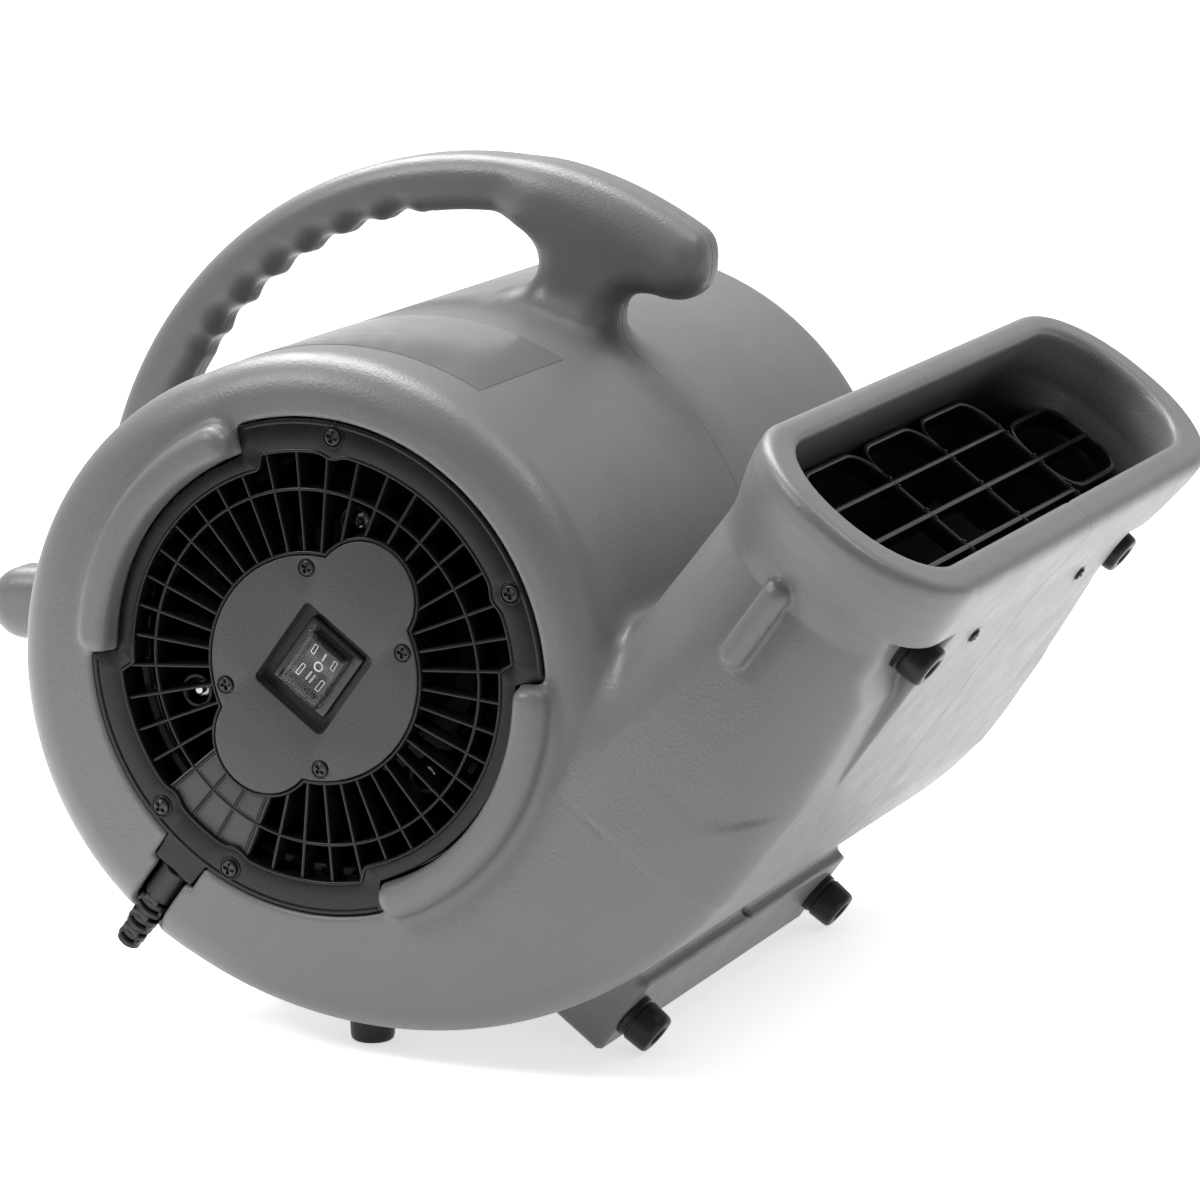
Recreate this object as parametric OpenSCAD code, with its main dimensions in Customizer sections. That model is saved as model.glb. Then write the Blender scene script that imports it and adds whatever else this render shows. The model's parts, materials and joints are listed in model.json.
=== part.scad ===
// Centrifugal air mover: a two-inlet snail blower in a one-piece moulded housing with an
// integral handle. Sub-parts are drawn with the fan axis on local Z:
//   local X runs along the duct towards the outlet, local Y is up when the machine lies flat,
//   local Z points to the switch side.
// stance() stands the drawing on its rear feet with the duct raised. The model's origin is at the
// middle of the floor area that it covers, on the floor.

/* [Housing] */
// Half of the width, from the mid plane to the rim face
half_w = 208; // [206:1:212]
// Radius of the round barrel over the fan
barrel_r = 157.5; // [156:0.5:159]
// Radius of the rounded rim of the barrel
rim_round = 22; // [18:1:26]
// Wall thickness of the moulding
wall = 5; // [4:0.5:6]
// Radius of the belly arc of the scroll
belly_r = 241; // [240:0.5:242]
// Height of the duct outside
duct_h = 121; // [118:1:124]
// Half of the duct's width behind the collar
duct_half_w = 208; // [206:1:210]
// Half of the collar's width at the outlet
lip_half_w = 236; // [232:1:238]
// Distance from the fan axis to the front of the outlet
lip_u = 252; // [248:1:256]

/* [Handle] */
// Outer radius of the handle's bow about the fan axis
bow_r = 235; // [233:1:238]
// Thickness of the handle
bow_t = 30; // [28:1:32]
// Number of finger hollows under the handle
finger_count = 6; // [4:1:6]

/* [Feet and stance] */
// Angle that the duct is raised from the floor
tilt = 54; // [54:1:54]
// Height of the fan axis over the plane of the four flat-pose feet
flat_h = 238.5; // [238:0.5:239]
// Radius of a rubber foot where it meets the housing
foot_r = 12; // [11:0.5:13]
// Height of a rubber foot
foot_h = 18; // [17:0.5:19]

/* [Grilles] */
// Radius of the grille flange
flange_r = 127; // [126:0.5:128]
// Radius of the air opening
opening_r = 111; // [110:0.5:112]
// Number of radial ribs
rib_count = 40; // [36:4:44]
// Width of a rib
rib_t = 2; // [1.8:0.1:2.4]
// Depth of a rib
rib_d = 11; // [9:1:12]

/* [Fan] */
// Outer radius of the fan wheel
wheel_r = 124; // [120:1:126]
// Number of blades in each half of the wheel
blade_count = 36; // [30:2:40]
// Half of the wheel's width
wheel_half_w = 132; // [126:1:136]

/* [Hidden] */
$fn = 96;
eps = 0.01;

grey = [0.36, 0.36, 0.37];
black = [0.05, 0.05, 0.055];
dark = [0.11, 0.11, 0.115];
rubber = [0.03, 0.03, 0.03];
zinc = [0.66, 0.67, 0.69];
steel = [0.55, 0.56, 0.58];
copper = [0.72, 0.40, 0.20];

// Arcs of the scroll, each tangent to the next one
back_c = [-15.3, 0.5];
back_r = barrel_r + 7.7;
belly_c = [60.5, 7];
duct_bottom = belly_c[1] - belly_r;
duct_top = duct_bottom + duct_h;
collar_u = 205;
lug_u = [158, 198];
lug_v = -167;
lug_r = 7;
lug_h = 7;
mouth_corner = 45;
throat_corner = 50;

// Feet: positions in local X and Z
base_foot = [-68, 126];
outlet_foot = [193, 146];
stand_foot = [-160, -127];
stand_foot_w = 163;
outlet_tab = [194, 80];
block_u = [-92, -45];
block_bottom = foot_h - flat_h;
block_half_w = 139;
ramp_l = 83;

// Stance: the rear edge of the base feet and the stand feet touch the floor together
stand_h = 204.1;
stand_x = -18;

// Grille stack-up along the fan axis
notch_r = 107.4;
notch_open_r = 104;
ridge_r = 120;
ridge_w = 24;
ridge_h = 12;
ridge_sector = [58, 128];
flange_t = 4;
mid_ring_r = 91;
hub_r = 58;
lobe_r = 28;
lobe_u = 49;
hub_wall = 2.2;
screw_r = 119.5;
flange_screws = [30, -30, 168.4, -168.4];
seat_w = 190;
relief_w = 200;
pocket = [52, 46];
face_w = half_w - 1;
cable_half_angle = 13.5;

// Motor stack-up along the fan axis
motor_r = 62;
motor_front_w = 150;
motor_rear_w = 44;
shaft_r = 6.35;
bolt_r = 76;
bolt_angles = [22, 142, 262];
boss_w = 172;
box_depth = 42;
box_r = 55;
box_screws = [45, 135, 225, 315];

// Control plate and rocker switch
plate_t = 3;
plate_w = face_w + 0.5;
plate_screws = [39.5, 140.5, 219.5, 320.5];
plate_screw_r = 51.5;
switch_w = plate_w - 9;
rocker_w = switch_w - 1.8;
pin_r = 1.2;

// Motor details
bell_l = 30;
core_w = [motor_rear_w + bell_l, motor_front_w - bell_l];
bearing_h = 9;
lead_u = 24;
lead_r = 3.1;

// Outlet grille, inside the duct: bar positions across and up
grille_u = 203;
grille_depth = 10;
grille_bar = 3;
grille_bars = [40, 122, 196];
grille_v = [for (i = [0:4]) duct_bottom + 11 + 25 * i];

// Supply side: the grille's tab over the lead, the lead's way in the housing and the capacitor
tab_end = 141;
tab_w = 26;
way_end = 108;
way_r = 9;
can_v = -31;
can_w = face_w - rib_d - 25;

module stance() {
    translate([stand_x, 0, stand_h])
        rotate([0, -tilt, 0])
            rotate([90, 0, 0]) children();
}

// Both sides of the mid plane
module both_sides() {
    children();
    mirror([0, 0, 1]) children();
}

module at(w) { translate([0, 0, w]) children(); }

module polar(angles, r) {
    for (a = angles) rotate(a) translate([r, 0, 0]) children();
}

module ring(r_out, r_in, h) {
    difference() {
        cylinder(r = r_out, h = h);
        translate([0, 0, -1]) cylinder(r = r_in, h = h + 2);
    }
}

// A wedge of the plane between two angles, less than half a turn apart
module wedge(a0, a1, r) {
    mid = (a0 + a1) / 2;
    far = r / cos((a1 - a0) / 4);
    polygon([[0, 0], far * [cos(a0), sin(a0)], far * [cos((a0 + mid) / 2), sin((a0 + mid) / 2)],
        far * [cos(mid), sin(mid)], far * [cos((a1 + mid) / 2), sin((a1 + mid) / 2)],
        far * [cos(a1), sin(a1)]]);
}

function arc(c, r, a0, a1, step = 6) =
    let (n = ceil((a1 - a0) / step)) [for (i = [0:n]) c + r * [cos(a0 + (a1 - a0) * i / n),
        sin(a0 + (a1 - a0) * i / n)]];

module screw(head_r, head_h, shank_r, shank_l) {
    cylinder(r = shank_r, h = shank_l + eps);
    translate([0, 0, shank_l])
        difference() {
            cylinder(r1 = head_r, r2 = head_r * 0.8, h = head_h);
            for (a = [0, 90]) rotate(a) translate([-head_r * 0.6, -head_r * 0.13, head_h * 0.35])
                cube([head_r * 1.2, head_r * 0.26, head_h]);
        }
}

// ---- housing -----------------------------------------------------------------------------

// Back and belly of the scroll, a closed convex outline pulled in by inset
module scroll_outline(inset) {
    polygon(concat(arc(back_c, back_r - inset, 62, 178), arc(belly_c, belly_r - inset, 183, 270)));
}

// A slab of the scroll with rounded edges
module scroll_shell(inset, half) {
    hull() {
        for (k = [0, 0.3, 1]) {
            edge = rim_round * k;
            pull = rim_round * (1 - sqrt(1 - (1 - k) * (1 - k)));
            at(edge - half) linear_extrude(2 * (half - edge)) scroll_outline(inset + pull);
        }
    }
}

// One upright section of the duct, at distance u, with rounded corners
module duct_section(u, half, bottom, top, corner) {
    translate([u, 0, 0]) rotate([0, 90, 0]) rotate([0, 0, 90])
        linear_extrude(1) {
            for (x = [-1, 1], y = [bottom + corner, top - corner])
                translate([y, x * (half - corner)]) circle(corner, $fn = 32);
        }
}

module duct_outside() {
    hull() {
        duct_section(belly_c[0] - 12, half_w - 1, duct_bottom, duct_top, 26);
        duct_section(collar_u, duct_half_w, duct_bottom, duct_top, 54);
    }
    hull() {
        duct_section(collar_u, duct_half_w, duct_bottom, duct_top, 54);
        duct_section(collar_u + 18, lip_half_w - 3, duct_bottom - 3, duct_top + 4, 58);
        duct_section(lip_u - 6, lip_half_w, duct_bottom - 3, duct_top + 4, 60);
        duct_section(lip_u - 1, lip_half_w - 6, duct_bottom + 3, duct_top - 2, 56);
    }
}

module duct_inside() {
    hull() {
        duct_section(belly_c[0] - 14, half_w - wall - 2, duct_bottom + wall, duct_top - wall, 22);
        duct_section(collar_u, duct_half_w - wall, duct_bottom + wall + 3, duct_top - wall, throat_corner);
    }
    hull() {
        duct_section(collar_u - 1, duct_half_w - wall, duct_bottom + wall + 3, duct_top - wall,
            throat_corner);
        duct_section(lip_u + 1, lip_half_w - 23, duct_bottom + 16, duct_top - 11, mouth_corner);
    }
}

module barrel(r, half, edge) {
    rotate_extrude() {
        translate([0, -half]) square([r - edge, 2 * half]);
        translate([0, edge - half]) square([r, 2 * (half - edge)]);
        for (s = [-1, 1]) translate([r - edge, s * (half - edge)]) circle(edge);
    }
}

module bow() {
    mid_r = bow_r - bow_t / 2;
    difference() {
        rotate([0, 0, 6]) rotate_extrude(angle = 124) translate([mid_r, 0]) {
            for (s = [-3, 3]) translate([0, s]) circle(bow_t / 2);
            translate([-bow_t / 2, -3]) square([bow_t, 6]);
        }
        for (i = [0:finger_count - 1])
            rotate(48 + i * 6.8) translate([bow_r - bow_t - 13, 0, -half_w]) cylinder(r = 16, h = 2 * half_w);
    }
}

// Front stem with the free end that keeps the cord on
module stem() {
    at(-16) linear_extrude(32) difference() {
        union() {
            polygon([[138, 78], [150, 74], [168, 86], [176, 106], [196, 90], [214, 34], [186, 18],
                [176, 30], [150, 28]]);
            translate([212, 18]) circle(19);
        }
        translate([155, 92]) circle(16);
    }
}

// Rear post that the bow ends in
module post() {
    rotate(132.5) at(-18) linear_extrude(36) {
        translate([150, -21]) square([140, 42]);
        translate([287, 0]) circle(21);
    }
}

module inlet_ridges() {
    for (a = [0, 176]) rotate(a + ridge_sector[0] + 5)
        rotate_extrude(angle = ridge_sector[1] - ridge_sector[0] - 10)
            translate([ridge_r - ridge_w / 2, half_w - 14]) {
                square([ridge_w, ridge_h + 10]);
                translate([4, 0]) square([ridge_w - 8, ridge_h + 14]);
            }
}

// Opening for a grille: the notched recess and the air hole behind it
module grille_recess(grow) {
    circle(notch_r + grow);
    intersection() {
        circle(flange_r + grow);
        union() {
            wedge(-57 - grow / 2, 57 + grow / 2, 150);
            wedge(127 - grow / 2, 234 + grow / 2, 150);
        }
    }
}

module lug() {
    at(half_w - 10) {
        translate([lug_u[0], lug_v - lug_r, 0]) cube([lug_u[1] - lug_u[0], 2 * lug_r, lug_h + 10]);
        for (u = lug_u) translate([u, lug_v, 0]) cylinder(r = lug_r, h = lug_h + 10);
    }
}

// Groove in the duct's lower corner that ends in the flat seat of the outlet foot
module foot_ramp() {
    back = outlet_foot[0] - ramp_l;
    front = outlet_foot[0] + foot_r + 1;
    seat = outlet_foot[0] - foot_r - 2;
    at(outlet_foot[1] - foot_r - 1) linear_extrude(45) polygon([[back, duct_bottom - 6],
        [back, duct_bottom - 0.5], [seat - 1, duct_bottom + 4], [seat, block_bottom],
        [front, block_bottom], [front, duct_bottom - 6]]);
}

// Thickened floor and corner of the duct over the outlet foot's seat, joined to the duct all round
module foot_seat() {
    inner = outlet_foot[1] - foot_r - 7;
    low = duct_bottom + 3;
    high = block_bottom + 11;
    translate([outlet_foot[0] - foot_r - 8, 0, 0]) rotate([0, 90, 0]) rotate([0, 0, 90])
        linear_extrude(2 * foot_r + 14) polygon([[low, inner], [low, inner + 41], [low + 4.5, inner + 53],
            [low + 9.5, inner + 61], [high, inner + 61], [high, inner]]);
}

// Way for the strain relief and the lead, and the recess for the grille's tab above it
module lead_way() {
    length = half_w - way_end;
    translate([-half_w, -way_r, relief_w]) cube([length, 2 * way_r, 30]);
    translate([-half_w, 0, relief_w]) rotate([0, 90, 0]) cylinder(r = way_r, h = length);
    translate([-tab_end - 0.4, -tab_w / 2 - 0.4, face_w - flange_t - 0.05])
        cube([tab_end - opening_r, tab_w + 0.8, 20]);
}

module screw_holes() {
    both_sides() at(face_w - 13) polar(flange_screws, screw_r) cylinder(r = 2, h = 12);
    both_sides() translate([outlet_tab[0], duct_bottom - 5, outlet_tab[1]]) rotate([-90, 0, 0]) {
        cylinder(r = 4.4, h = 8);
        cylinder(r = 2.1, h = 20);
    }
    at_base_feet() at(-9) cylinder(r = 2.5, h = 10);
    at_outlet_feet() at(-9) cylinder(r = 2.5, h = 10);
    at_stand_feet() at(-9) cylinder(r = 2.5, h = 10);
    at_stand_feet() cylinder(r = foot_r + 0.05, h = foot_h);
}

module housing() {
    color(grey) stance() difference() {
        union() {
            difference() {
                union() {
                    barrel(barrel_r, half_w, rim_round);
                    scroll_shell(0, half_w);
                    duct_outside();
                    translate([block_u[0], block_bottom, -block_half_w])
                        cube([block_u[1] - block_u[0], 60, 2 * block_half_w]);
                    bow();
                    stem();
                    post();
                    both_sides() lug();
                }
                barrel(barrel_r - wall, half_w - wall, rim_round - wall);
                scroll_shell(wall, half_w - wall);
                duct_inside();
            }
            both_sides() inlet_ridges();
            both_sides() foot_seat();
            both_sides() at(seat_w) ring(flange_r + 9, opening_r + 1, half_w - 2 - seat_w);
            translate([-back_r, -15, relief_w - 13]) cube([back_r - flange_r + 5, 30, 18]);
        }
        both_sides() at(face_w - flange_t - 0.05) linear_extrude(20) grille_recess(0.4);
        cylinder(r = opening_r + 1.5, h = 3 * half_w, center = true);
        lead_way();
        both_sides() foot_ramp();
        screw_holes();
    }
}

// ---- feet --------------------------------------------------------------------------------

module foot() {
    difference() {
        cylinder(r1 = foot_r, r2 = foot_r - 1, h = foot_h);
        translate([0, 0, foot_h - 6]) cylinder(r = 5.5, h = 7);
        translate([0, 0, -1]) cylinder(r = 2.6, h = foot_h);
    }
}

module foot_screw() {
    translate([0, 0, foot_h - 9]) screw(4.6, 2.4, 2.5, 2.9);
    translate([0, 0, -8]) cylinder(r = 2.5, h = foot_h);
}

module at_base_feet() {
    both_sides() translate([base_foot[0], block_bottom, base_foot[1]]) rotate([90, 0, 0]) children();
}

module at_outlet_feet() {
    both_sides() translate([outlet_foot[0], block_bottom, outlet_foot[1]]) rotate([90, 0, 0]) children();
}

module at_stand_feet() {
    both_sides() translate([stand_foot[0], stand_foot[1], stand_foot_w])
        rotate([0, 0, -tilt]) rotate([90, 0, 0]) at(-foot_h) children();
}

module base_feet() { color(rubber) stance() at_base_feet() foot(); }

module outlet_feet() { color(rubber) stance() at_outlet_feet() foot(); }

module stand_feet() { color(rubber) stance() at_stand_feet() foot(); }

module foot_screws() {
    color(zinc) stance() {
        at_base_feet() foot_screw();
        at_outlet_feet() foot_screw();
        at_stand_feet() foot_screw();
    }
}

// ---- outlet grille -----------------------------------------------------------------------

module outlet_grille() {
    color(black) stance() {
        for (s = [-1, 1]) {
            for (w = [grille_bars[0], grille_bars[1]])
                grille_bar(s * w - grille_bar / 2, grille_v[0], grille_bar, grille_v[4] - grille_v[0]);
            grille_bar(s * grille_bars[2] - grille_bar / 2, grille_v[1], grille_bar,
                grille_v[3] - grille_v[1]);
        }
        for (i = [1:3]) grille_bar(-grille_bars[2], grille_v[i] - grille_bar / 2, 2 * grille_bars[2],
            grille_bar);
        for (i = [0, 4]) grille_bar(-grille_bars[1], grille_v[i] - grille_bar / 2, 2 * grille_bars[1],
            grille_bar);
        both_sides() difference() {
            translate([grille_u - 22, grille_v[0] - 1.2, outlet_tab[1] - 12]) cube([26, 3, 24]);
            translate([outlet_tab[0], grille_v[0] - 3, outlet_tab[1]]) rotate([-90, 0, 0])
                cylinder(r = 2, h = 9);
        }
    }
}

// One bar of the outlet grille, across the duct's section
module grille_bar(w, v, size_w, size_v) {
    translate([grille_u, v, w]) cube([grille_depth, size_v, size_w]);
}

module outlet_grille_screws() {
    color(zinc) stance() both_sides()
        translate([outlet_tab[0], duct_bottom + 15, outlet_tab[1]]) rotate([90, 0, 0]) screw(4, 2, 2, 13);
}

// ---- inlet grilles -----------------------------------------------------------------------

module hub_outline(grow) {
    circle(hub_r + grow);
    for (s = [-1, 1]) translate([s * lobe_u, 0]) circle(lobe_r + grow);
}

module opening_outline() {
    circle(notch_open_r);
    intersection() {
        circle(opening_r);
        union() {
            wedge(-54, 54, 150);
            wedge(130, 231, 150);
        }
    }
}

module rib_pattern() {
    for (i = [0:rib_count - 1]) rotate((i + 0.5) * 360 / rib_count) translate([hub_r - 4, -rib_t / 2])
        square([opening_r - hub_r + 7, rib_t]);
    difference() {
        circle(mid_ring_r + rib_t / 2);
        circle(mid_ring_r - rib_t / 2);
    }
}

module grille(with_cable_way) {
    at(face_w - flange_t) linear_extrude(flange_t) difference() {
        union() {
            grille_recess(0);
            if (with_cable_way) translate([-tab_end, -tab_w / 2]) square([tab_end - opening_r, tab_w]);
        }
        opening_outline();
    }
    at(face_w - rib_d - 1) linear_extrude(rib_d) difference() {
        intersection() {
            union() {
                rib_pattern();
                hub_outline(hub_wall);
                difference() {
                    circle(opening_r + 1);
                    opening_outline();
                }
            }
            circle(opening_r + 1);
        }
        hub_outline(0.3);
    }
    if (with_cable_way) at(face_w - rib_d - 1) linear_extrude(rib_d - 1.5) difference() {
        intersection() {
            circle(opening_r + 0.5);
            wedge(180 - cable_half_angle, 180 + cable_half_angle, 150);
        }
        hub_outline(hub_wall);
    }
}

// Cups behind the ribs that the motor's bolts pass through
module bolt_bosses() {
    polar(bolt_angles, bolt_r) difference() {
        at(boss_w) cylinder(r = 9, h = face_w - rib_d - 0.5 - boss_w);
        at(boss_w - 1) cylinder(r = 3.2, h = 60);
        at(boss_w + 14) cylinder(r = 6.6, h = 60);
    }
}

module switch_side_grille() {
    color(black) stance() difference() {
        union() {
            grille(true);
            at(face_w - rib_d - 1) linear_extrude(3) difference() {
                hub_outline(0.4);
                circle(box_r - 4);
            }
            bolt_bosses();
        }
        polar(flange_screws, screw_r) cylinder(r = 2.2, h = half_w + 10);
        polar(box_screws, box_r - 1.4) cylinder(r = 1.2, h = half_w - 3);
        polar(plate_screws, plate_screw_r) cylinder(r = 1.6, h = half_w - 3);
        translate([-150, 0, relief_w]) rotate([0, 90, 0]) cylinder(r = 4.6, h = 105);
    }
}

module plain_side_grille() {
    color(black) stance() mirror([0, 0, 1]) difference() {
        union() {
            grille(false);
            at(face_w - 4) linear_extrude(3) hub_outline(0.4);
        }
        polar(flange_screws, screw_r) cylinder(r = 2.2, h = half_w + 10);
    }
}

module grille_screw_set() {
    at(face_w - 12) polar(flange_screws, screw_r) screw(4.2, 2, 2, 12);
}

module switch_side_grille_screws() { color(zinc) stance() grille_screw_set(); }

module plain_side_grille_screws() { color(zinc) stance() mirror([0, 0, 1]) grille_screw_set(); }

module control_plate() {
    color(dark) stance() {
        difference() {
            union() {
                at(plate_w - plate_t) linear_extrude(plate_t) hub_outline(-0.2);
                polar(plate_screws, plate_screw_r) at(plate_w - 9.5) cylinder(r = 4.5, h = 8);
            }
            at(plate_w - plate_t - 1) translate([-pocket[0] / 2, -pocket[1] / 2])
                cube([pocket[0], pocket[1], 9]);
            polar(plate_screws, plate_screw_r) at(plate_w - 12) cylinder(r = 1.9, h = 14);
            polar(plate_screws, plate_screw_r) at(plate_w - 1.2) cylinder(r = 4.6, h = 3);
        }
        // Pocket that the switch is set down in
        difference() {
            translate([-pocket[0] / 2 - 2, -pocket[1] / 2 - 2, switch_w - 2])
                cube([pocket[0] + 4, pocket[1] + 4, 11 - plate_t]);
            translate([-pocket[0] / 2, -pocket[1] / 2, switch_w]) cube([pocket[0], pocket[1], 20]);
            translate([-15, -11.5, switch_w - 5]) cube([30, 23, 10]);
        }
    }
}

module control_plate_screws() {
    color(black) stance() polar(plate_screws, plate_screw_r) at(plate_w - 12.2) screw(3.9, 1.6, 1.6, 11);
}

module switch_frame() {
    color(black) stance() difference() {
        translate([-20, -17.5, switch_w]) cube([40, 35, 4]);
        translate([-14.5, -11, switch_w - 1]) cube([29, 22, 6]);
    }
}

module switch_body() {
    color(black) stance() difference() {
        translate([-14.8, -11.3, switch_w - 24]) cube([29.6, 22.6, 24]);
        translate([-13.3, -9.8, switch_w - 10]) cube([26.6, 19.6, 11]);
        at(rocker_w) rotate([90, 0, 0]) cylinder(r = pin_r + 0.05, h = 22, center = true);
    }
}

module switch_terminals() {
    color(copper) stance() for (x = [-9, 0, 9], y = [-5.5, 5.5])
        translate([x - 0.4, y - 2.4, switch_w - 35]) cube([0.8, 4.8, 12]);
}

module switch_rocker() {
    color(dark) stance() {
        intersection() {
            translate([-12.5, -9.4, rocker_w - 5]) cube([25, 18.8, 13]);
            difference() {
                at(rocker_w) rotate([90, 0, 0]) cylinder(r = 12.9, h = 30, center = true);
                at(rocker_w + 32) rotate([90, 0, 0]) cylinder(r = 27, h = 40, center = true);
            }
        }
        at(rocker_w) rotate([90, 0, 0]) cylinder(r = pin_r, h = 21.4, center = true);
    }
}

module switch_cover() {
    color([0.8, 0.82, 0.84, 0.35]) stance() difference() {
        translate([-17, -13.5, switch_w + 4]) cube([34, 27, 7]);
        translate([-15.8, -12.3, switch_w + 2]) cube([31.6, 24.6, 7.8]);
    }
}

// ---- supply side -------------------------------------------------------------------------

module strain_relief() {
    rings = 6;
    color(rubber) stance() translate([-tab_end, 0, relief_w]) rotate([0, -90, 0]) {
        cylinder(r = 7, h = 20);
        for (i = [0:rings - 1]) at(20 + i * 5.6) cylinder(r = 7.2 - i * 0.35, h = 3.8);
        cylinder(r = 4.6, h = 54);
    }
}

module supply_lead() {
    color(rubber) stance() translate([-tab_end, 0, relief_w]) rotate([0, 90, 0]) cylinder(r = 4.2, h = 83);
}

module wiring_box() {
    color(black) stance() at(face_w - rib_d - 1 - box_depth) difference() {
        union() {
            cylinder(r = box_r - 0.5, h = box_depth - 0.3);
            at(box_depth - 3.3) cylinder(r = box_r + 2, h = 3);
        }
        at(2) cylinder(r = box_r - 3, h = box_depth);
        translate([lead_u, 0, -1]) cylinder(r = lead_r, h = 4);
        polar(box_screws, box_r - 1.4) at(box_depth - 8) cylinder(r = 1.2, h = 9);
    }
}

module wiring_box_screws() {
    color(zinc) stance() polar(box_screws, box_r - 1.4)
        at(face_w - rib_d - 7.5) cylinder(r = 1.2, h = 8.4);
}

module capacitor() {
    color([0.75, 0.76, 0.78]) stance() translate([-22, can_v, can_w]) rotate([0, 90, 0])
        cylinder(r = 14, h = 44);
}

module capacitor_strap() {
    color(zinc) stance() translate([-6, can_v, can_w]) rotate([0, 90, 0]) difference() {
        union() {
            cylinder(r = 15, h = 12);
            translate([12, -15, 0]) cube([4, 30, 12]);
        }
        at(-1) cylinder(r = 14, h = 14);
    }
}

// ---- motor -------------------------------------------------------------------------------

// Bolts with their heads in the grille's cups, and the nuts behind the bracket
module mount_bolts() {
    color(zinc) stance() polar(bolt_angles, bolt_r) {
        at(motor_front_w - 6) cylinder(r = 3, h = boss_w + 15 - motor_front_w + 6);
        at(boss_w + 14) cylinder(r = 5.6, h = 4.5, $fn = 6);
        at(motor_front_w - 5) cylinder(r = 5.6, h = 5, $fn = 6);
    }
}

module mount_spacers() {
    color(zinc) stance() polar(bolt_angles, bolt_r)
        at(motor_front_w + 3) ring(6, 3.1, boss_w - motor_front_w - 3);
}

module motor_bracket() {
    color(zinc) stance() at(motor_front_w) linear_extrude(3) difference() {
        union() {
            circle(motor_r + 3);
            for (a = bolt_angles) rotate(a) translate([40, -8]) square([bolt_r - 40, 16]);
            polar(bolt_angles, bolt_r) circle(10);
        }
        circle(16);
        translate([lead_u, 0]) circle(lead_r);
        polar(bolt_angles, bolt_r) circle(3.2);
    }
}

module bell() {
    difference() {
        cylinder(r = motor_r, h = bell_l);
        at(3) cylinder(r = motor_r - 3, h = bell_l);
        at(-1) cylinder(r = 14, h = 9);
        polar([22.5:45:337.5], 36) at(-1) cylinder(r = 6, h = 5);
        translate([lead_u, 0, -1]) cylinder(r = lead_r, h = 5);
    }
    difference() {
        cylinder(r = 17, h = 12);
        at(-1) cylinder(r = 14, h = 14);
    }
}

module motor_front_bell() { color(dark) stance() at(motor_front_w) mirror([0, 0, 1]) bell(); }

module motor_rear_bell() { color(dark) stance() at(motor_rear_w) bell(); }

module stator_core() {
    color(steel) stance() at(core_w[0]) difference() {
        cylinder(r = motor_r, h = core_w[1] - core_w[0]);
        at(-1) cylinder(r = 36.6, h = 60);
        polar([0:15:345], 42) at(-1) cylinder(r = 3.4, h = 60);
    }
}

module stator_windings() {
    color(copper) stance() {
        at(core_w[1]) ring(55, 39, 16);
        at(core_w[0] - 16) ring(55, 39, 16);
        polar([0:15:345], 42) at(core_w[0] - 1) cylinder(r = 3.3, h = core_w[1] - core_w[0] + 2);
    }
}

module motor_lead() {
    color(rubber) stance() translate([lead_u, 0, motor_front_w - 10]) cylinder(r = lead_r, h = 22);
}

module bearing() { ring(13.95, shaft_r + 0.05, bearing_h); }

module front_bearing() { color(steel) stance() at(motor_front_w - 11) bearing(); }

module rear_bearing() { color(steel) stance() at(motor_rear_w + 2) bearing(); }

module inlet_ring() {
    at(150) ring(opening_r - 6, opening_r - 8, face_w - 18 - 150);
    at(face_w - 20) ring(opening_r + 1.2, opening_r - 8, 2);
    at(face_w - 18) ring(opening_r + 1.2, opening_r - 0.4, 18 - rib_d - 1);
}

module switch_side_inlet_ring() { color(black) stance() inlet_ring(); }

module plain_side_inlet_ring() { color(black) stance() mirror([0, 0, 1]) inlet_ring(); }

// ---- turning parts -----------------------------------------------------------------------

module motor_shaft() {
    color(steel) stance() at(-14) cylinder(r = shaft_r, h = motor_front_w + 10);
}

module rotor_core() {
    color(steel) stance() at(core_w[0]) ring(36, shaft_r, core_w[1] - core_w[0]);
}

module wheel_hub() {
    color(zinc) stance() at(-12) difference() {
        cylinder(r = 20, h = 30);
        at(-1) cylinder(r = shaft_r, h = 40);
        translate([0, 0, 24]) rotate([0, 90, 0]) cylinder(r = 3, h = 30);
    }
}

module hub_set_screw() {
    color(dark) stance() translate([shaft_r, 0, 12]) rotate([0, 90, 0]) cylinder(r = 3, h = 10);
}

module wheel_centre_disc() {
    color(zinc) stance() at(-1) ring(wheel_r, 20, 2);
}

module blades() {
    chord = wheel_r - 4 - (wheel_r - 21);
    for (i = [0:blade_count - 1]) rotate(i * 360 / blade_count) translate([wheel_r - 12.5, 0, 1])
        linear_extrude(wheel_half_w - 2) intersection() {
            translate([0, -9]) difference() {
                circle(r = 13);
                circle(r = 12.2);
            }
            translate([-chord / 2, 0]) square([chord, 20]);
        }
}

module switch_side_blades() { color(zinc) stance() blades(); }

module plain_side_blades() { color(zinc) stance() mirror([0, 0, 1]) blades(); }

module wheel_end_rings() {
    color(zinc) stance() both_sides() at(wheel_half_w - 1) ring(wheel_r, wheel_r - 22, 2);
}

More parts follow.
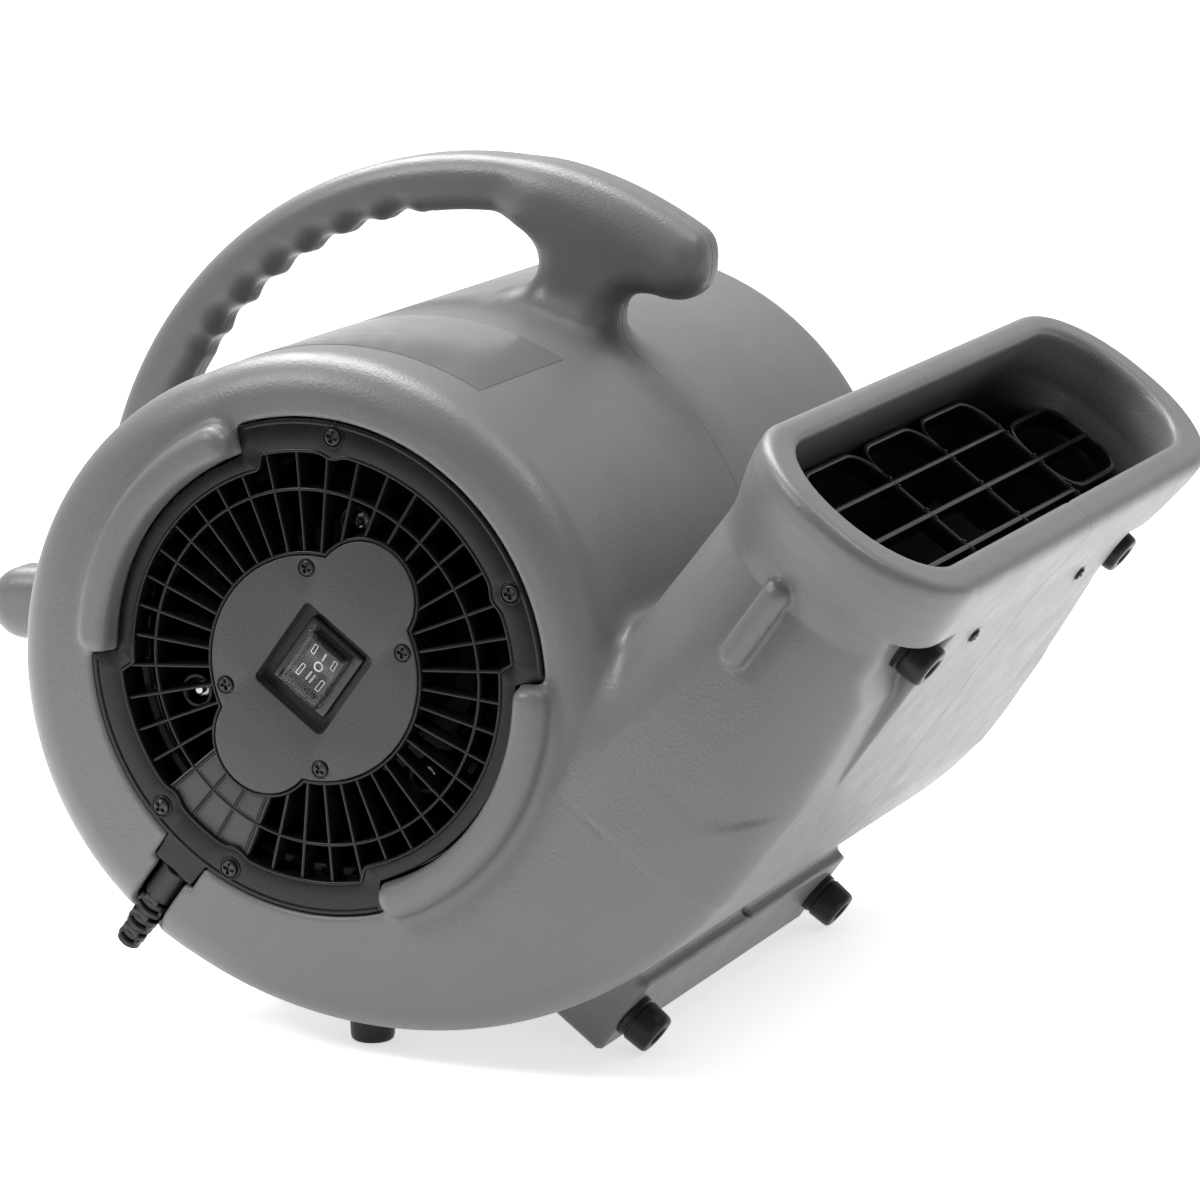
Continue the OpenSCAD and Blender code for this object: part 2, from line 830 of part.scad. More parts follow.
housing();
base_feet();
outlet_feet();
stand_feet();
foot_screws();
outlet_grille();
outlet_grille_screws();
switch_side_grille();
plain_side_grille();
switch_side_grille_screws();
plain_side_grille_screws();
control_plate();
control_plate_screws();
switch_frame();
switch_body();
switch_terminals();
switch_rocker();
switch_cover();
strain_relief();
supply_lead();
wiring_box();
wiring_box_screws();
capacitor();
capacitor_strap();
mount_bolts();
mount_spacers();
motor_bracket();
motor_front_bell();
motor_rear_bell();
stator_core();
stator_windings();
motor_lead();
front_bearing();
rear_bearing();
switch_side_inlet_ring();
plain_side_inlet_ring();
motor_shaft();
rotor_core();
wheel_hub();
hub_set_screw();
wheel_centre_disc();
switch_side_blades();
plain_side_blades();
wheel_end_rings();
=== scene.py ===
import json
import math

import bmesh
import bpy
import numpy as np
from mathutils import Matrix, Vector, geometry


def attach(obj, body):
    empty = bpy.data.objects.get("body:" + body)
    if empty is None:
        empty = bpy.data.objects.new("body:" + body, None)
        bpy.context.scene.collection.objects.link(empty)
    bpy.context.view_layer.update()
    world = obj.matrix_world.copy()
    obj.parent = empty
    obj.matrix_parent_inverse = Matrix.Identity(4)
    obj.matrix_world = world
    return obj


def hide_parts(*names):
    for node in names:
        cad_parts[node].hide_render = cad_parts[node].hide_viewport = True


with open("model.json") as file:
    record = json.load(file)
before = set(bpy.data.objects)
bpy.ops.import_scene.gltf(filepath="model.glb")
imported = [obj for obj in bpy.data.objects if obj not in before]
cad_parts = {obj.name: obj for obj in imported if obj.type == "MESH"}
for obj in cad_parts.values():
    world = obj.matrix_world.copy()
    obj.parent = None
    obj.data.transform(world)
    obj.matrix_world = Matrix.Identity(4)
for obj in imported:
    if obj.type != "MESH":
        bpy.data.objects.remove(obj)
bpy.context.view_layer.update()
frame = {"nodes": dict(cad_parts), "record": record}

# ---- the drawing's frame -------------------------------------------------------------------
# u runs along the duct to the outlet, v is up when the machine lies flat, w points to the
# switch side. All in millimetres.
TILT = math.radians(54.0)
COS, SIN = math.cos(TILT), math.sin(TILT)
STAND_X, STAND_H = -18.0, 204.1
MM = 0.001


def to_world(p):
    p = np.asarray(p, float)
    u, v, w = p[..., 0], p[..., 1], p[..., 2]
    return np.stack([STAND_X + COS * u - SIN * v, -w, STAND_H + SIN * u + COS * v], -1) * MM


def add_mesh(name, verts, faces, smooth=True, sharp_deg=None):
    """A mesh object from points in the drawing's frame."""
    mesh = bpy.data.meshes.new(name)
    mesh.from_pydata(to_world(verts).tolist(), [], [list(map(int, f)) for f in faces])
    mesh.validate()
    bm = bmesh.new()
    bm.from_mesh(mesh)
    bmesh.ops.recalc_face_normals(bm, faces=bm.faces)
    bm.to_mesh(mesh)
    bm.free()
    mesh.polygons.foreach_set("use_smooth", [smooth] * len(mesh.polygons))
    if sharp_deg is not None:
        mesh.set_sharp_from_angle(angle=math.radians(sharp_deg))
    obj = bpy.data.objects.new(name, mesh)
    bpy.context.scene.collection.objects.link(obj)
    return obj


# ---- housing as a distance field -----------------------------------------------------------
HALF_W = 208.0
BARREL_R = 157.5
WALL = 6.0
BACK_C, BACK_R = (-15.3, 0.5), 165.2
BELLY_C, BELLY_R = (60.5, 7.0), 241.0
DUCT_BOTTOM, DUCT_TOP = -234.0, -113.0
LIP_U = 252.0
FLANGE_R, NOTCH_R, OPENING_R = 127.0, 111.8, 111.0
FACE_W = 207.0
SECTORS = ((1.75, 53.75), (180.5, 53.5))
RIDGES = ((92.0, 30.5), (271.5, 32.0))
BOW_R, BOW_T = 235.0, 30.0


def smin(a, b, k):
    h = np.clip(1.0 - np.abs(a - b) / k, 0.0, 1.0)
    return np.minimum(a, b) - h * h * k * 0.25


def smax(a, b, k):
    return -smin(-a, -b, k)


def slab(d2, e, r):
    """Joins a plane distance and a depth distance with a rounded edge of radius r."""
    a, b = d2 + r, e + r
    return np.minimum(np.maximum(a, b), 0.0) + np.hypot(np.maximum(a, 0.0), np.maximum(b, 0.0)) - r


def segment(p, a, b):
    """Distance to the segment from a to b; p, a and b are tuples of coordinates."""
    ab = [q - s for s, q in zip(a, b)]
    t = sum((x - s) * d for x, s, d in zip(p, a, ab)) / sum(d * d for d in ab)
    t = np.clip(t, 0.0, 1.0)
    return np.sqrt(sum((x - s - t * d) ** 2 for x, s, d in zip(p, a, ab)))


def polygon(u, v, points):
    """Signed distance to a closed polygon."""
    best = np.full(u.shape, 1e9)
    inside = np.zeros(u.shape, bool)
    n = len(points)
    for i in range(n):
        a, b = points[i], points[(i + 1) % n]
        best = np.minimum(best, segment((u, v), a, b))
        cross = (a[1] > v) != (b[1] > v)
        dv = b[1] - a[1] if b[1] != a[1] else 1e-9
        inside ^= cross & (u < (b[0] - a[0]) * (v - a[1]) / dv + a[0])
    return np.where(inside, -best, best)


def turn(angle, centre):
    return (angle - centre + 180.0) % 360.0 - 180.0


def scroll_plane(u, v):
    barrel = np.hypot(u, v) - BARREL_R
    back = np.hypot(u - BACK_C[0], v - BACK_C[1]) - BACK_R
    belly = np.hypot(u - BELLY_C[0], v - BELLY_C[1]) - BELLY_R
    du, dv = BELLY_C[0] - BACK_C[0], BELLY_C[1] - BACK_C[1]
    below = (dv * (u - BELLY_C[0]) - du * (v - BELLY_C[1])) / math.hypot(du, dv)
    reach = np.minimum(u - BELLY_C[0], np.maximum(u - 100.0, v + 145.0))
    belly = np.maximum(np.maximum(belly, -below), reach)
    return np.minimum(np.minimum(barrel, back), belly)


def section(v, w, half, low, high, corner):
    """Rounded rectangle across the duct."""
    mid, tall = (low + high) / 2, (high - low) / 2
    corner = np.minimum(corner, tall)
    a, b = w - half + corner, np.abs(v - mid) - tall + corner
    return np.hypot(np.maximum(a, 0), np.maximum(b, 0)) + np.minimum(np.maximum(a, b), 0) - corner


DUCT_U = (40, 60, 110, 160, 194, 201, 208, 216, 226, 238, 252)
DUCT_HALF = (208, 208, 208, 207.3, 207.2, 210, 214, 219.5, 226, 232.5, 236)
DUCT_CORNER = (27, 28, 40, 50, 56, 57, 58, 59, 60, 61, 61)
DUCT_LOW = (-234, -234, -234, -234, -234, -234, -234.4, -235.3, -236.3, -237, -237)
DUCT_HIGH = (-113, -113, -113, -113, -113, -113, -112.3, -111.2, -110, -109.3, -109)
IN_U = (40, 60, 110, 160, 203, 222, 240, 256)
IN_HALF = (200.5, 201.5, 202, 201.5, 201, 209, 212, 213)
IN_CORNER = (22, 23, 35, 45, 50, 48, 46, 45)
IN_LOW = (-228.5, -228.5, -228.5, -228, -227, -222, -219, -217)
IN_HIGH = (-118.5, -118.5, -118.5, -119, -119.5, -121, -123, -125)


def rim_radius(u, v):
    return 22.0 + 6.0 * np.clip((u + 20) / 80, 0, 1) * np.clip((-v - 100) / 80, 0, 1)


def outside(u, v, w):
    plane = scroll_plane(u, v)
    body = slab(plane, w - HALF_W, rim_radius(u, v))
    low, high = np.interp(u, DUCT_U, DUCT_LOW), np.interp(u, DUCT_U, DUCT_HIGH)
    deep = np.clip(-np.maximum(plane, np.maximum(low - v, v - high)) / 18.0, 0, 1)
    blend = 1.0 + 14.0 * (1 - deep) * np.clip((v + 185.0) / 40.0, 0, 1)
    duct = section(v, w, np.interp(u, DUCT_U, DUCT_HALF), low, high, np.interp(u, DUCT_U, DUCT_CORNER))
    duct = np.maximum(slab(duct, u - LIP_U, 7.0), 40.0 - u)
    return smin(body, duct, blend)


def hollow(u, v, w):
    body = slab(scroll_plane(u, v) + WALL, w - HALF_W + WALL, rim_radius(u, v) - WALL)
    low, high = np.interp(u, IN_U, IN_LOW), np.interp(u, IN_U, IN_HIGH)
    duct = section(v, w, np.interp(u, IN_U, IN_HALF), low, high, np.interp(u, IN_U, IN_CORNER))
    return np.minimum(body, np.maximum(duct, 44.0 - u))


def softened(points, rounds=2):
    """Closed outline with its corners cut again and again until it is smooth."""
    p = np.asarray(points, float)
    for _ in range(rounds):
        q = np.roll(p, -1, 0)
        p = np.stack([0.75 * p + 0.25 * q, 0.25 * p + 0.75 * q], 1).reshape(-1, 2)
    return [tuple(x) for x in p]


STEM_LINE = softened(((128, 88), (148, 76), (162, 78), (171, 88), (174, 110), (200, 112), (216, 76),
                      (223, 34), (221, 4), (206, 1), (196, 10), (190, 24), (180, 33), (166, 29), (138, 22)))


def only(where, shape, u, v, w):
    """Evaluates a shape near itself and leaves a large distance elsewhere."""
    out = np.full(np.shape(u), 90.0)
    out[where] = shape(u[where], v[where], w[where])
    return out


def cavity(u, v, w):
    """The hollow with the thickened floor over the outlet feet and the round air openings."""
    pad = np.maximum(np.maximum(v + 214, -246 - v), np.maximum(np.abs(u - 159) - 51, np.abs(w - 165) - 37))
    inner = smax(hollow(u, v, w), -pad, 5.0)
    return np.minimum(inner, np.maximum(np.hypot(u, v) - OPENING_R - 1.5, 60 - w))


def handle(u, v, w):
    r = np.hypot(u, v)
    angle = np.degrees(np.arctan2(v, u))
    grip = np.clip((angle - 44) / 4, 0, 1) * np.clip((92 - angle) / 4, 0, 1)
    wave = 0.5 - 0.5 * np.cos(np.radians((angle - 46.0) / 6.9 * 360.0))
    thin = 3.4 * grip * np.abs(wave) ** 0.7
    flare = 8.0 * np.clip((angle - 112) / 24, 0, 1) ** 2
    half = BOW_T / 2 + flare / 2 - thin / 2
    mid = BOW_R - BOW_T / 2 - flare / 2 + thin / 2
    soft = 12.0
    a = np.maximum(np.abs(r - mid) - half + soft, 0)
    b = np.maximum(w - 17.0 - flare * 0.4 + soft, 0)
    bow = np.hypot(a, b) - soft
    ends = r * np.sin(np.radians(np.clip(np.abs(turn(angle, 71.0)) - 69.0, -90, 90)))
    bow = slab(bow, ends, 13.0)
    stem = polygon(u, v, STEM_LINE) - 1.0
    thick = 16.5 + 3.0 * np.clip((r - 190) / 30, 0, 1)
    stem = slab(stem, w - thick, 15.0)
    return smin(bow, stem, 14.0)


POST_ANGLE = math.radians(132.5)


def post(u, v, w):
    s = u * math.cos(POST_ANGLE) + v * math.sin(POST_ANGLE)
    t = -u * math.sin(POST_ANGLE) + v * math.cos(POST_ANGLE)
    waist = 2.5 * np.exp(-((s - 262) / 12.0) ** 2)
    plane = segment((s, t), (140.0, 0.0), (288.0, 0.0)) - 20.5 + waist
    return slab(plane, w - 18.5 + waist, 13.0)


def recess_plane(u, v):
    r = np.hypot(u, v)
    angle = np.degrees(np.arctan2(v, u))
    best = r - NOTCH_R - 0.6
    for centre, half in SECTORS:
        side = r * np.sin(np.radians(np.clip(np.abs(turn(angle, centre)) - half - 0.3, -90, 90)))
        best = np.minimum(best, smax(r - FLANGE_R - 0.6, side, 6.0))
    return best


def ridge(u, v, w, centre, span):
    r = np.hypot(u, v)
    angle = np.degrees(np.arctan2(v, u))
    off = np.abs(turn(angle, centre))
    a = math.radians(centre - span)
    b = math.radians(centre + span)
    mid = 121.8
    ends = np.minimum(np.hypot(u - mid * math.cos(a), v - mid * math.sin(a)),
                      np.hypot(u - mid * math.cos(b), v - mid * math.sin(b)))
    plane = np.where(off < span, np.abs(r - mid), ends) - 10.2
    return slab(plane, w - 219.5, 7.6)


def housing_field(u, v, w):
    w = np.abs(w)
    d = outside(u, v, w)
    high = (np.hypot(u, v) > 120.0) & (w < 70.0) & (v > -40.0)
    d = smin(d, only(high, handle, u, v, w), 22.0)
    d = smin(d, only(high, post, u, v, w), 16.0)
    block = slab(np.maximum(np.abs(u + 68.5) - 23.5, np.maximum(-220.5 - v, v + 150)), w - 139.0, 5.0)
    d = smin(d, block, 9.0)
    lug = segment((u, v, w), (158, -167, 209.8), (198, -167, 211.6)) - 7.0
    d = smin(d, lug, 1.6)
    side = (w > 185.0) & (np.hypot(u, v) < 160.0)
    for centre, span in RIDGES:
        d = smin(d, only(side, lambda a, b, c: ridge(a, b, c, centre, span), u, v, w), 6.0)
    floor = np.interp(u, (106, 112, 165, 181, 207), (-236.5, -234.0, -228.0, -221.0, -221.0))
    groove = np.maximum(np.maximum(v - floor, 133.5 - w), np.maximum(108 - u, u - 206.5))
    d = smax(d, -groove, 5.0)
    bore = np.maximum(np.hypot(u - 194.0, w - 80.0) - 4.2, v + 230.0)
    d = smax(d, -bore, 1.0)
    d = smax(d, -np.maximum(np.hypot(v + 215.3, w) - 2.4, -52.0 - u), 0.8)
    inner = cavity(u, v, w)
    d = smax(d, -inner, 5.0)
    tab = np.maximum(np.abs(v) - 13.5, np.maximum(-141.2 - u, u + 110.0))
    seat = np.maximum(np.minimum(recess_plane(u, v), tab), FACE_W - 4.3 - w)
    d = smax(d, -seat, 2.4)
    way = np.maximum(np.maximum(np.hypot(v, np.minimum(w - 200.0, 0)) - 9.5, u + 120), 191 - w)
    return smax(d, -way, 2.0)


def net_mesh(step):
    """Surface net of the housing over its switch-side half, pulled onto the field and mirrored."""
    lo = np.array([-222.0, -246.0, -0.5 * step])
    hi = np.array([262.0, 242.0, 244.0])
    count = np.ceil((hi - lo) / step).astype(int) + 1
    axes = [lo[i] + step * np.arange(count[i]) for i in range(3)]
    coarse = 4
    small = [np.append(a[::coarse], a[-1]) for a in axes]
    cu, cv, cw = np.meshgrid(*small, indexing="ij")
    rough = housing_field(cu, cv, cw)
    index = [np.clip(np.rint(np.arange(n) / coarse).astype(int), 0, len(s) - 1)
             for n, s in zip(count, small)]
    field = rough[np.ix_(*index)].astype(np.float32)
    near = np.nonzero(np.abs(field.ravel()) < step * coarse * 1.9)[0]
    for part in np.array_split(near, max(1, len(near) // 400000)):
        i, j, k = np.unravel_index(part, field.shape)
        field.ravel()[part] = housing_field(axes[0][i], axes[1][j], axes[2][k])
    solid = field < 0
    cells = tuple(n - 1 for n in count)
    total = np.zeros(cells, np.int8)
    corners = [(a, b, c) for a in (0, 1) for b in (0, 1) for c in (0, 1)]
    for a, b, c in corners:
        total += solid[a:a + cells[0], b:b + cells[1], c:c + cells[2]]
    ci, cj, ck = np.nonzero((total > 0) & (total < 8))
    ident = np.full(cells, -1, np.int64)
    ident[ci, cj, ck] = np.arange(len(ci))
    value = {c: field[ci + c[0], cj + c[1], ck + c[2]] for c in corners}
    point = np.zeros((len(ci), 3))
    hits = np.zeros(len(ci))
    for c in corners:
        for axis in range(3):
            if c[axis]:
                continue
            e = tuple(1 if q == axis else c[q] for q in range(3))
            a, b = value[c], value[e]
            cross = (a < 0) != (b < 0)
            t = np.where(cross, a / np.where(cross, a - b, 1), 0)
            for q in range(3):
                point[:, q] += np.where(cross, c[q] + (t if q == axis else 0), 0)
            hits += cross
    point = point / hits[:, None] + np.stack([ci, cj, ck], 1)
    verts = lo + point * step
    quads = []
    for axis in range(3):
        q, r = [k for k in range(3) if k != axis]
        lead = [slice(1, -1)] * 3
        lead[axis] = slice(0, -1)
        tail = list(lead)
        tail[axis] = slice(1, None)
        change = solid[tuple(lead)] != solid[tuple(tail)]
        at = np.stack(np.nonzero(change), 1)
        base = at.copy()
        base[:, q] += 1
        base[:, r] += 1
        ring = []
        for dq, dr in ((-1, -1), (0, -1), (0, 0), (-1, 0)):
            cell = base.copy()
            cell[:, q] += dq
            cell[:, r] += dr
            ring.append(ident[cell[:, 0], cell[:, 1], cell[:, 2]])
        face = np.stack(ring, 1)
        outward = solid[base[:, 0], base[:, 1], base[:, 2]] ^ (axis == 1)
        face[~outward] = face[~outward][:, ::-1]
        quads.append(face)
    quads = np.concatenate(quads)
    quads = quads[(quads >= 0).all(1)]
    middle = ck == 0
    edges = np.concatenate([quads[:, [0, 1]], quads[:, [1, 2]], quads[:, [2, 3]], quads[:, [3, 0]]])
    edges = np.unique(np.sort(edges, 1), axis=0)
    degree = np.bincount(edges.ravel(), minlength=len(verts)).astype(float)[:, None]
    degree[degree == 0] = 1

    def gradient(p, h=0.35):
        g = np.zeros_like(p)
        for q in range(3):
            step_q = np.zeros(3)
            step_q[q] = h
            a, b = p + step_q, p - step_q
            g[:, q] = (housing_field(*a.T) - housing_field(*b.T)) / (2 * h)
        return g

    for turn_no in range(4):
        g = gradient(verts)
        size = np.maximum((g * g).sum(1), 0.05)
        d = housing_field(*verts.T)
        shift = -(d / size)[:, None] * g
        length = np.linalg.norm(shift, axis=1, keepdims=True)
        verts += shift * np.minimum(1.0, step / np.maximum(length, 1e-9))
        verts[middle, 2] = 0.0
        if turn_no < 3:
            mean = np.zeros_like(verts)
            for q in range(3):
                mean[:, q] = (np.bincount(edges[:, 0], verts[edges[:, 1], q], len(verts))
                              + np.bincount(edges[:, 1], verts[edges[:, 0], q], len(verts)))
            mean = mean / degree - verts
            n = g / np.sqrt(size)[:, None]
            mean -= (mean * n).sum(1, keepdims=True) * n
            mean[middle, 2] = 0.0
            verts += 0.5 * mean
    twin = np.where(middle, np.arange(len(verts)), -1)
    others = np.nonzero(~middle)[0]
    twin[others] = len(verts) + np.arange(len(others))
    mirrored = verts[others] * (1, 1, -1)
    return np.concatenate([verts, mirrored]), np.concatenate([quads, twin[quads][:, ::-1]])


def fast_mesh(name, verts, quads):
    """Mesh object from arrays, for large meshes."""
    mesh = bpy.data.meshes.new(name)
    mesh.vertices.add(len(verts))
    mesh.vertices.foreach_set("co", to_world(verts).astype(np.float32).ravel())
    mesh.loops.add(quads.size)
    mesh.loops.foreach_set("vertex_index", quads.astype(np.int32).ravel())
    mesh.polygons.add(len(quads))
    mesh.polygons.foreach_set("loop_start", np.arange(0, quads.size, 4, dtype=np.int32))
    mesh.update(calc_edges=True)
    mesh.polygons.foreach_set("use_smooth", np.ones(len(quads), bool))
    obj = bpy.data.objects.new(name, mesh)
    bpy.context.scene.collection.objects.link(obj)
    return obj


NET_STEP = 2.2
net_verts, net_quads = net_mesh(NET_STEP)
housing = fast_mesh("housing_moulding", net_verts, net_quads)
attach(housing, "housing")
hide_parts("housing")

# ---- materials -----------------------------------------------------------------------------


def material(name, color, rough, metallic=0.0, grain=(900.0, 0.00006), spread=0.06, coat=0.0,
             rough_spread=0.08, extra=None, gloss=0.5, shade=None):
    """Principled material whose colour, roughness and height vary with noise; a shade function, when given, paints
    shade into the colour.
    """
    mat = bpy.data.materials.new(name)
    mat.use_nodes = True
    tree = mat.node_tree
    nodes, links = tree.nodes, tree.links
    bsdf = nodes["Principled BSDF"]
    coord = nodes.new("ShaderNodeTexCoord")

    def noise(scale, detail):
        n = nodes.new("ShaderNodeTexNoise")
        n.inputs["Scale"].default_value = scale
        n.inputs["Detail"].default_value = detail
        links.new(coord.outputs["Object"], n.inputs["Vector"])
        return n.outputs["Fac"]

    def span(value, low, high):
        m = nodes.new("ShaderNodeMapRange")
        m.inputs["To Min"].default_value = low
        m.inputs["To Max"].default_value = high
        m.inputs["From Min"].default_value = 0.25
        m.inputs["From Max"].default_value = 0.75
        links.new(value, m.inputs["Value"])
        return m.outputs["Result"]

    tone = nodes.new("ShaderNodeVectorMath")
    tone.operation = "SCALE"
    tone.inputs[0].default_value = color
    links.new(span(noise(14.0, 4.0), 1 - spread, 1 + spread), tone.inputs["Scale"])
    if shade is None:
        links.new(tone.outputs["Vector"], bsdf.inputs["Base Color"])
    else:
        links.new(shade(nodes, links, coord, tone.outputs["Vector"]), bsdf.inputs["Base Color"])
    links.new(span(noise(60.0, 3.0), rough - rough_spread / 2, rough + rough_spread / 2),
              bsdf.inputs["Roughness"])
    bsdf.inputs["Metallic"].default_value = metallic
    bsdf.inputs["Coat Weight"].default_value = coat
    bsdf.inputs["Specular IOR Level"].default_value = gloss
    bump = nodes.new("ShaderNodeBump")
    bump.inputs["Distance"].default_value = grain[1]
    height = noise(grain[0], 2.0)
    if extra is not None:
        height = extra(nodes, links, coord, height)
    links.new(height, bump.inputs["Height"])
    links.new(bump.outputs["Normal"], bsdf.inputs["Normal"])
    return mat, bsdf


def seam(nodes, links, coord, height):
    """Adds the thin parting line along the mid plane to the height."""
    split = nodes.new("ShaderNodeSeparateXYZ")
    links.new(coord.outputs["Object"], split.inputs["Vector"])
    off = nodes.new("ShaderNodeMath")
    off.operation = "ABSOLUTE"
    links.new(split.outputs["Y"], off.inputs[0])
    ridge_line = nodes.new("ShaderNodeMapRange")
    ridge_line.interpolation_type = "SMOOTHSTEP"
    ridge_line.inputs["From Min"].default_value = 0.0002
    ridge_line.inputs["From Max"].default_value = 0.0011
    ridge_line.inputs["To Min"].default_value = 3.0
    ridge_line.inputs["To Max"].default_value = 0.0
    links.new(off.outputs["Value"], ridge_line.inputs["Value"])
    total = nodes.new("ShaderNodeMath")
    total.operation = "ADD"
    links.new(height, total.inputs[0])
    links.new(ridge_line.outputs["Result"], total.inputs[1])
    return total.outputs["Value"]


def painted_depth_shade(nodes, links, coord, color):
    """Painted shade: darkens the colour with the depth behind the outlet's front."""
    along = nodes.new("ShaderNodeVectorMath")
    along.operation = "DOT_PRODUCT"
    along.inputs[1].default_value = (COS, 0.0, SIN)
    links.new(coord.outputs["Object"], along.inputs[0])
    front = (COS * STAND_X + SIN * STAND_H + LIP_U) * MM
    fade = nodes.new("ShaderNodeMapRange")
    fade.interpolation_type = "SMOOTHSTEP"
    fade.inputs["From Min"].default_value = front - 0.050
    fade.inputs["From Max"].default_value = front - 0.004
    fade.inputs["To Min"].default_value = 0.12
    fade.inputs["To Max"].default_value = 1.0
    links.new(along.outputs["Value"], fade.inputs["Value"])
    scaled = nodes.new("ShaderNodeVectorMath")
    scaled.operation = "SCALE"
    links.new(color, scaled.inputs[0])
    links.new(fade.outputs["Result"], scaled.inputs["Scale"])
    return scaled.outputs["Vector"]


GREY, _ = material("grey_moulding", (0.112, 0.112, 0.115), 0.42, grain=(700.0, 0.0002), spread=0.035,
                   extra=seam)
# Copy of the grey with painted shade, darker the deeper it lies behind the outlet's front.
GREY_PAINTED_SHADE, _ = material("grey_moulding_inside", (0.112, 0.112, 0.115), 0.42, grain=(700.0, 0.0002),
                          spread=0.035, shade=painted_depth_shade)
RING, _ = material("inlet_ring_black", (0.004, 0.004, 0.0045), 0.16, grain=(900.0, 0.00001))
BARS, _ = material("outlet_grille_black", (0.003, 0.003, 0.0033), 0.20, grain=(900.0, 0.00001), gloss=0.28)
LABEL, _ = material("label_film", (0.104, 0.104, 0.107), 0.20, grain=(900.0, 0.00002), spread=0.02)
BLACK, _ = material("black_moulding", (0.0045, 0.0045, 0.005), 0.27, grain=(1500.0, 0.00003), gloss=0.25)
PLATE, _ = material("plate_moulding", (0.037, 0.037, 0.039), 0.50, grain=(900.0, 0.00025), gloss=0.4)
GLOSS, _ = material("switch_plastic", (0.010, 0.010, 0.011), 0.24, grain=(700.0, 0.000001), rough_spread=0.04)
RUBBER, _ = material("foot_rubber", (0.0045, 0.0045, 0.0045), 0.40, grain=(900.0, 0.00006), gloss=0.3)
CORD, _ = material("cord_rubber", (0.006, 0.006, 0.006), 0.38, grain=(900.0, 0.00006), gloss=0.4)
ZINC, _ = material("zinc_steel", (0.42, 0.43, 0.44), 0.28, metallic=1.0, grain=(1800.0, 0.00002))
DARK, _ = material("dark_steel", (0.020, 0.020, 0.021), 0.28, metallic=0.3, grain=(1400.0, 0.00002))
PAINT, _ = material("motor_paint", (0.004, 0.004, 0.004), 0.42, grain=(900.0, 0.00003), gloss=0.2)
CORE, _ = material("lamination_steel", (0.30, 0.30, 0.31), 0.42, metallic=1.0, grain=(2600.0, 0.00004))
COPPER, _ = material("winding_copper", (0.45, 0.17, 0.07), 0.36, metallic=0.8, grain=(1600.0, 0.0001))
BRASS, _ = material("terminal_brass", (0.66, 0.47, 0.18), 0.30, metallic=1.0, grain=(1800.0, 0.00001))
STEEL, _ = material("bearing_steel", (0.56, 0.57, 0.59), 0.25, metallic=1.0, grain=(1800.0, 0.00001))
ALU, _ = material("hub_aluminium", (0.62, 0.63, 0.64), 0.34, metallic=1.0, grain=(1800.0, 0.00002))
WHEEL, _ = material("wheel_steel", (0.004, 0.004, 0.0045), 0.42, grain=(1200.0, 0.00002), gloss=0.2)
CAN, _ = material("capacitor_can", (0.64, 0.65, 0.66), 0.36, metallic=1.0, grain=(1800.0, 0.00002))
MARK, _ = material("mark_print", (0.80, 0.81, 0.82), 0.45, grain=(1800.0, 0.00001))
CLEAR, clear_bsdf = material("clear_cover", (0.90, 0.91, 0.92), 0.06, metallic=1.0, grain=(40.0, 0.0000001),
                             rough_spread=0.02)
clear_tree = CLEAR.node_tree
clear_mix = clear_tree.nodes.new("ShaderNodeMixShader")
clear_edge = clear_tree.nodes.new("ShaderNodeFresnel")
clear_edge.inputs["IOR"].default_value = 1.32
clear_tree.links.new(clear_edge.outputs["Fac"], clear_mix.inputs["Fac"])
clear_tree.links.new(clear_tree.nodes.new("ShaderNodeBsdfTransparent").outputs["BSDF"], clear_mix.inputs[1])
clear_tree.links.new(clear_bsdf.outputs["BSDF"], clear_mix.inputs[2])
clear_tree.links.new(clear_mix.outputs["Shader"], clear_tree.nodes["Material Output"].inputs["Surface"])

BY_SLOT = {m.name.split(".")[0]: m for m in (GREY, BLACK, PLATE, GLOSS, RUBBER, CORD, ZINC, DARK, PAINT, CORE, COPPER,
                               BRASS, STEEL, ALU, WHEEL, CAN, CLEAR)}


def dress(obj, mat):
    obj.data.materials.clear()
    obj.data.materials.append(mat)


dress(housing, GREY)
# The faces inside the hollow take the copy of the grey with painted shade.
housing.data.materials.append(GREY_PAINTED_SHADE)
centres = net_verts[net_quads].mean(1)
painted_shade_faces = cavity(centres[:, 0], centres[:, 1], np.abs(centres[:, 2])) < 0.8
painted_shade_faces &= (np.abs(centres[:, 2]) < 190.0) | (centres[:, 0] > 130.0)
housing.data.polygons.foreach_set("material_index", painted_shade_faces.astype(np.int32))
slot_of = {s["node"]: s["material_slot"] for s in frame["record"]["subparts"]}
for node, obj in frame["nodes"].items():
    dress(obj, BY_SLOT[slot_of[node]])

# ---- helpers for the small pieces ----------------------------------------------------------


def loft(rings, wrap=False):
    """Closed shape through rings of equal length: capped at both ends, or joined round when wrap."""
    n, m = len(rings[0]), len(rings)
    verts = np.concatenate([np.asarray(r, float) for r in rings])
    faces = []
    for i in range(m if wrap else m - 1):
        for j in range(n):
            k = (j + 1) % n
            faces.append((i * n + j, i * n + k, (i + 1) % m * n + k, (i + 1) % m * n + j))
    if not wrap:
        faces.append(tuple(range(n))[::-1])
        faces.append(tuple((m - 1) * n + j for j in range(n)))
    return verts, faces


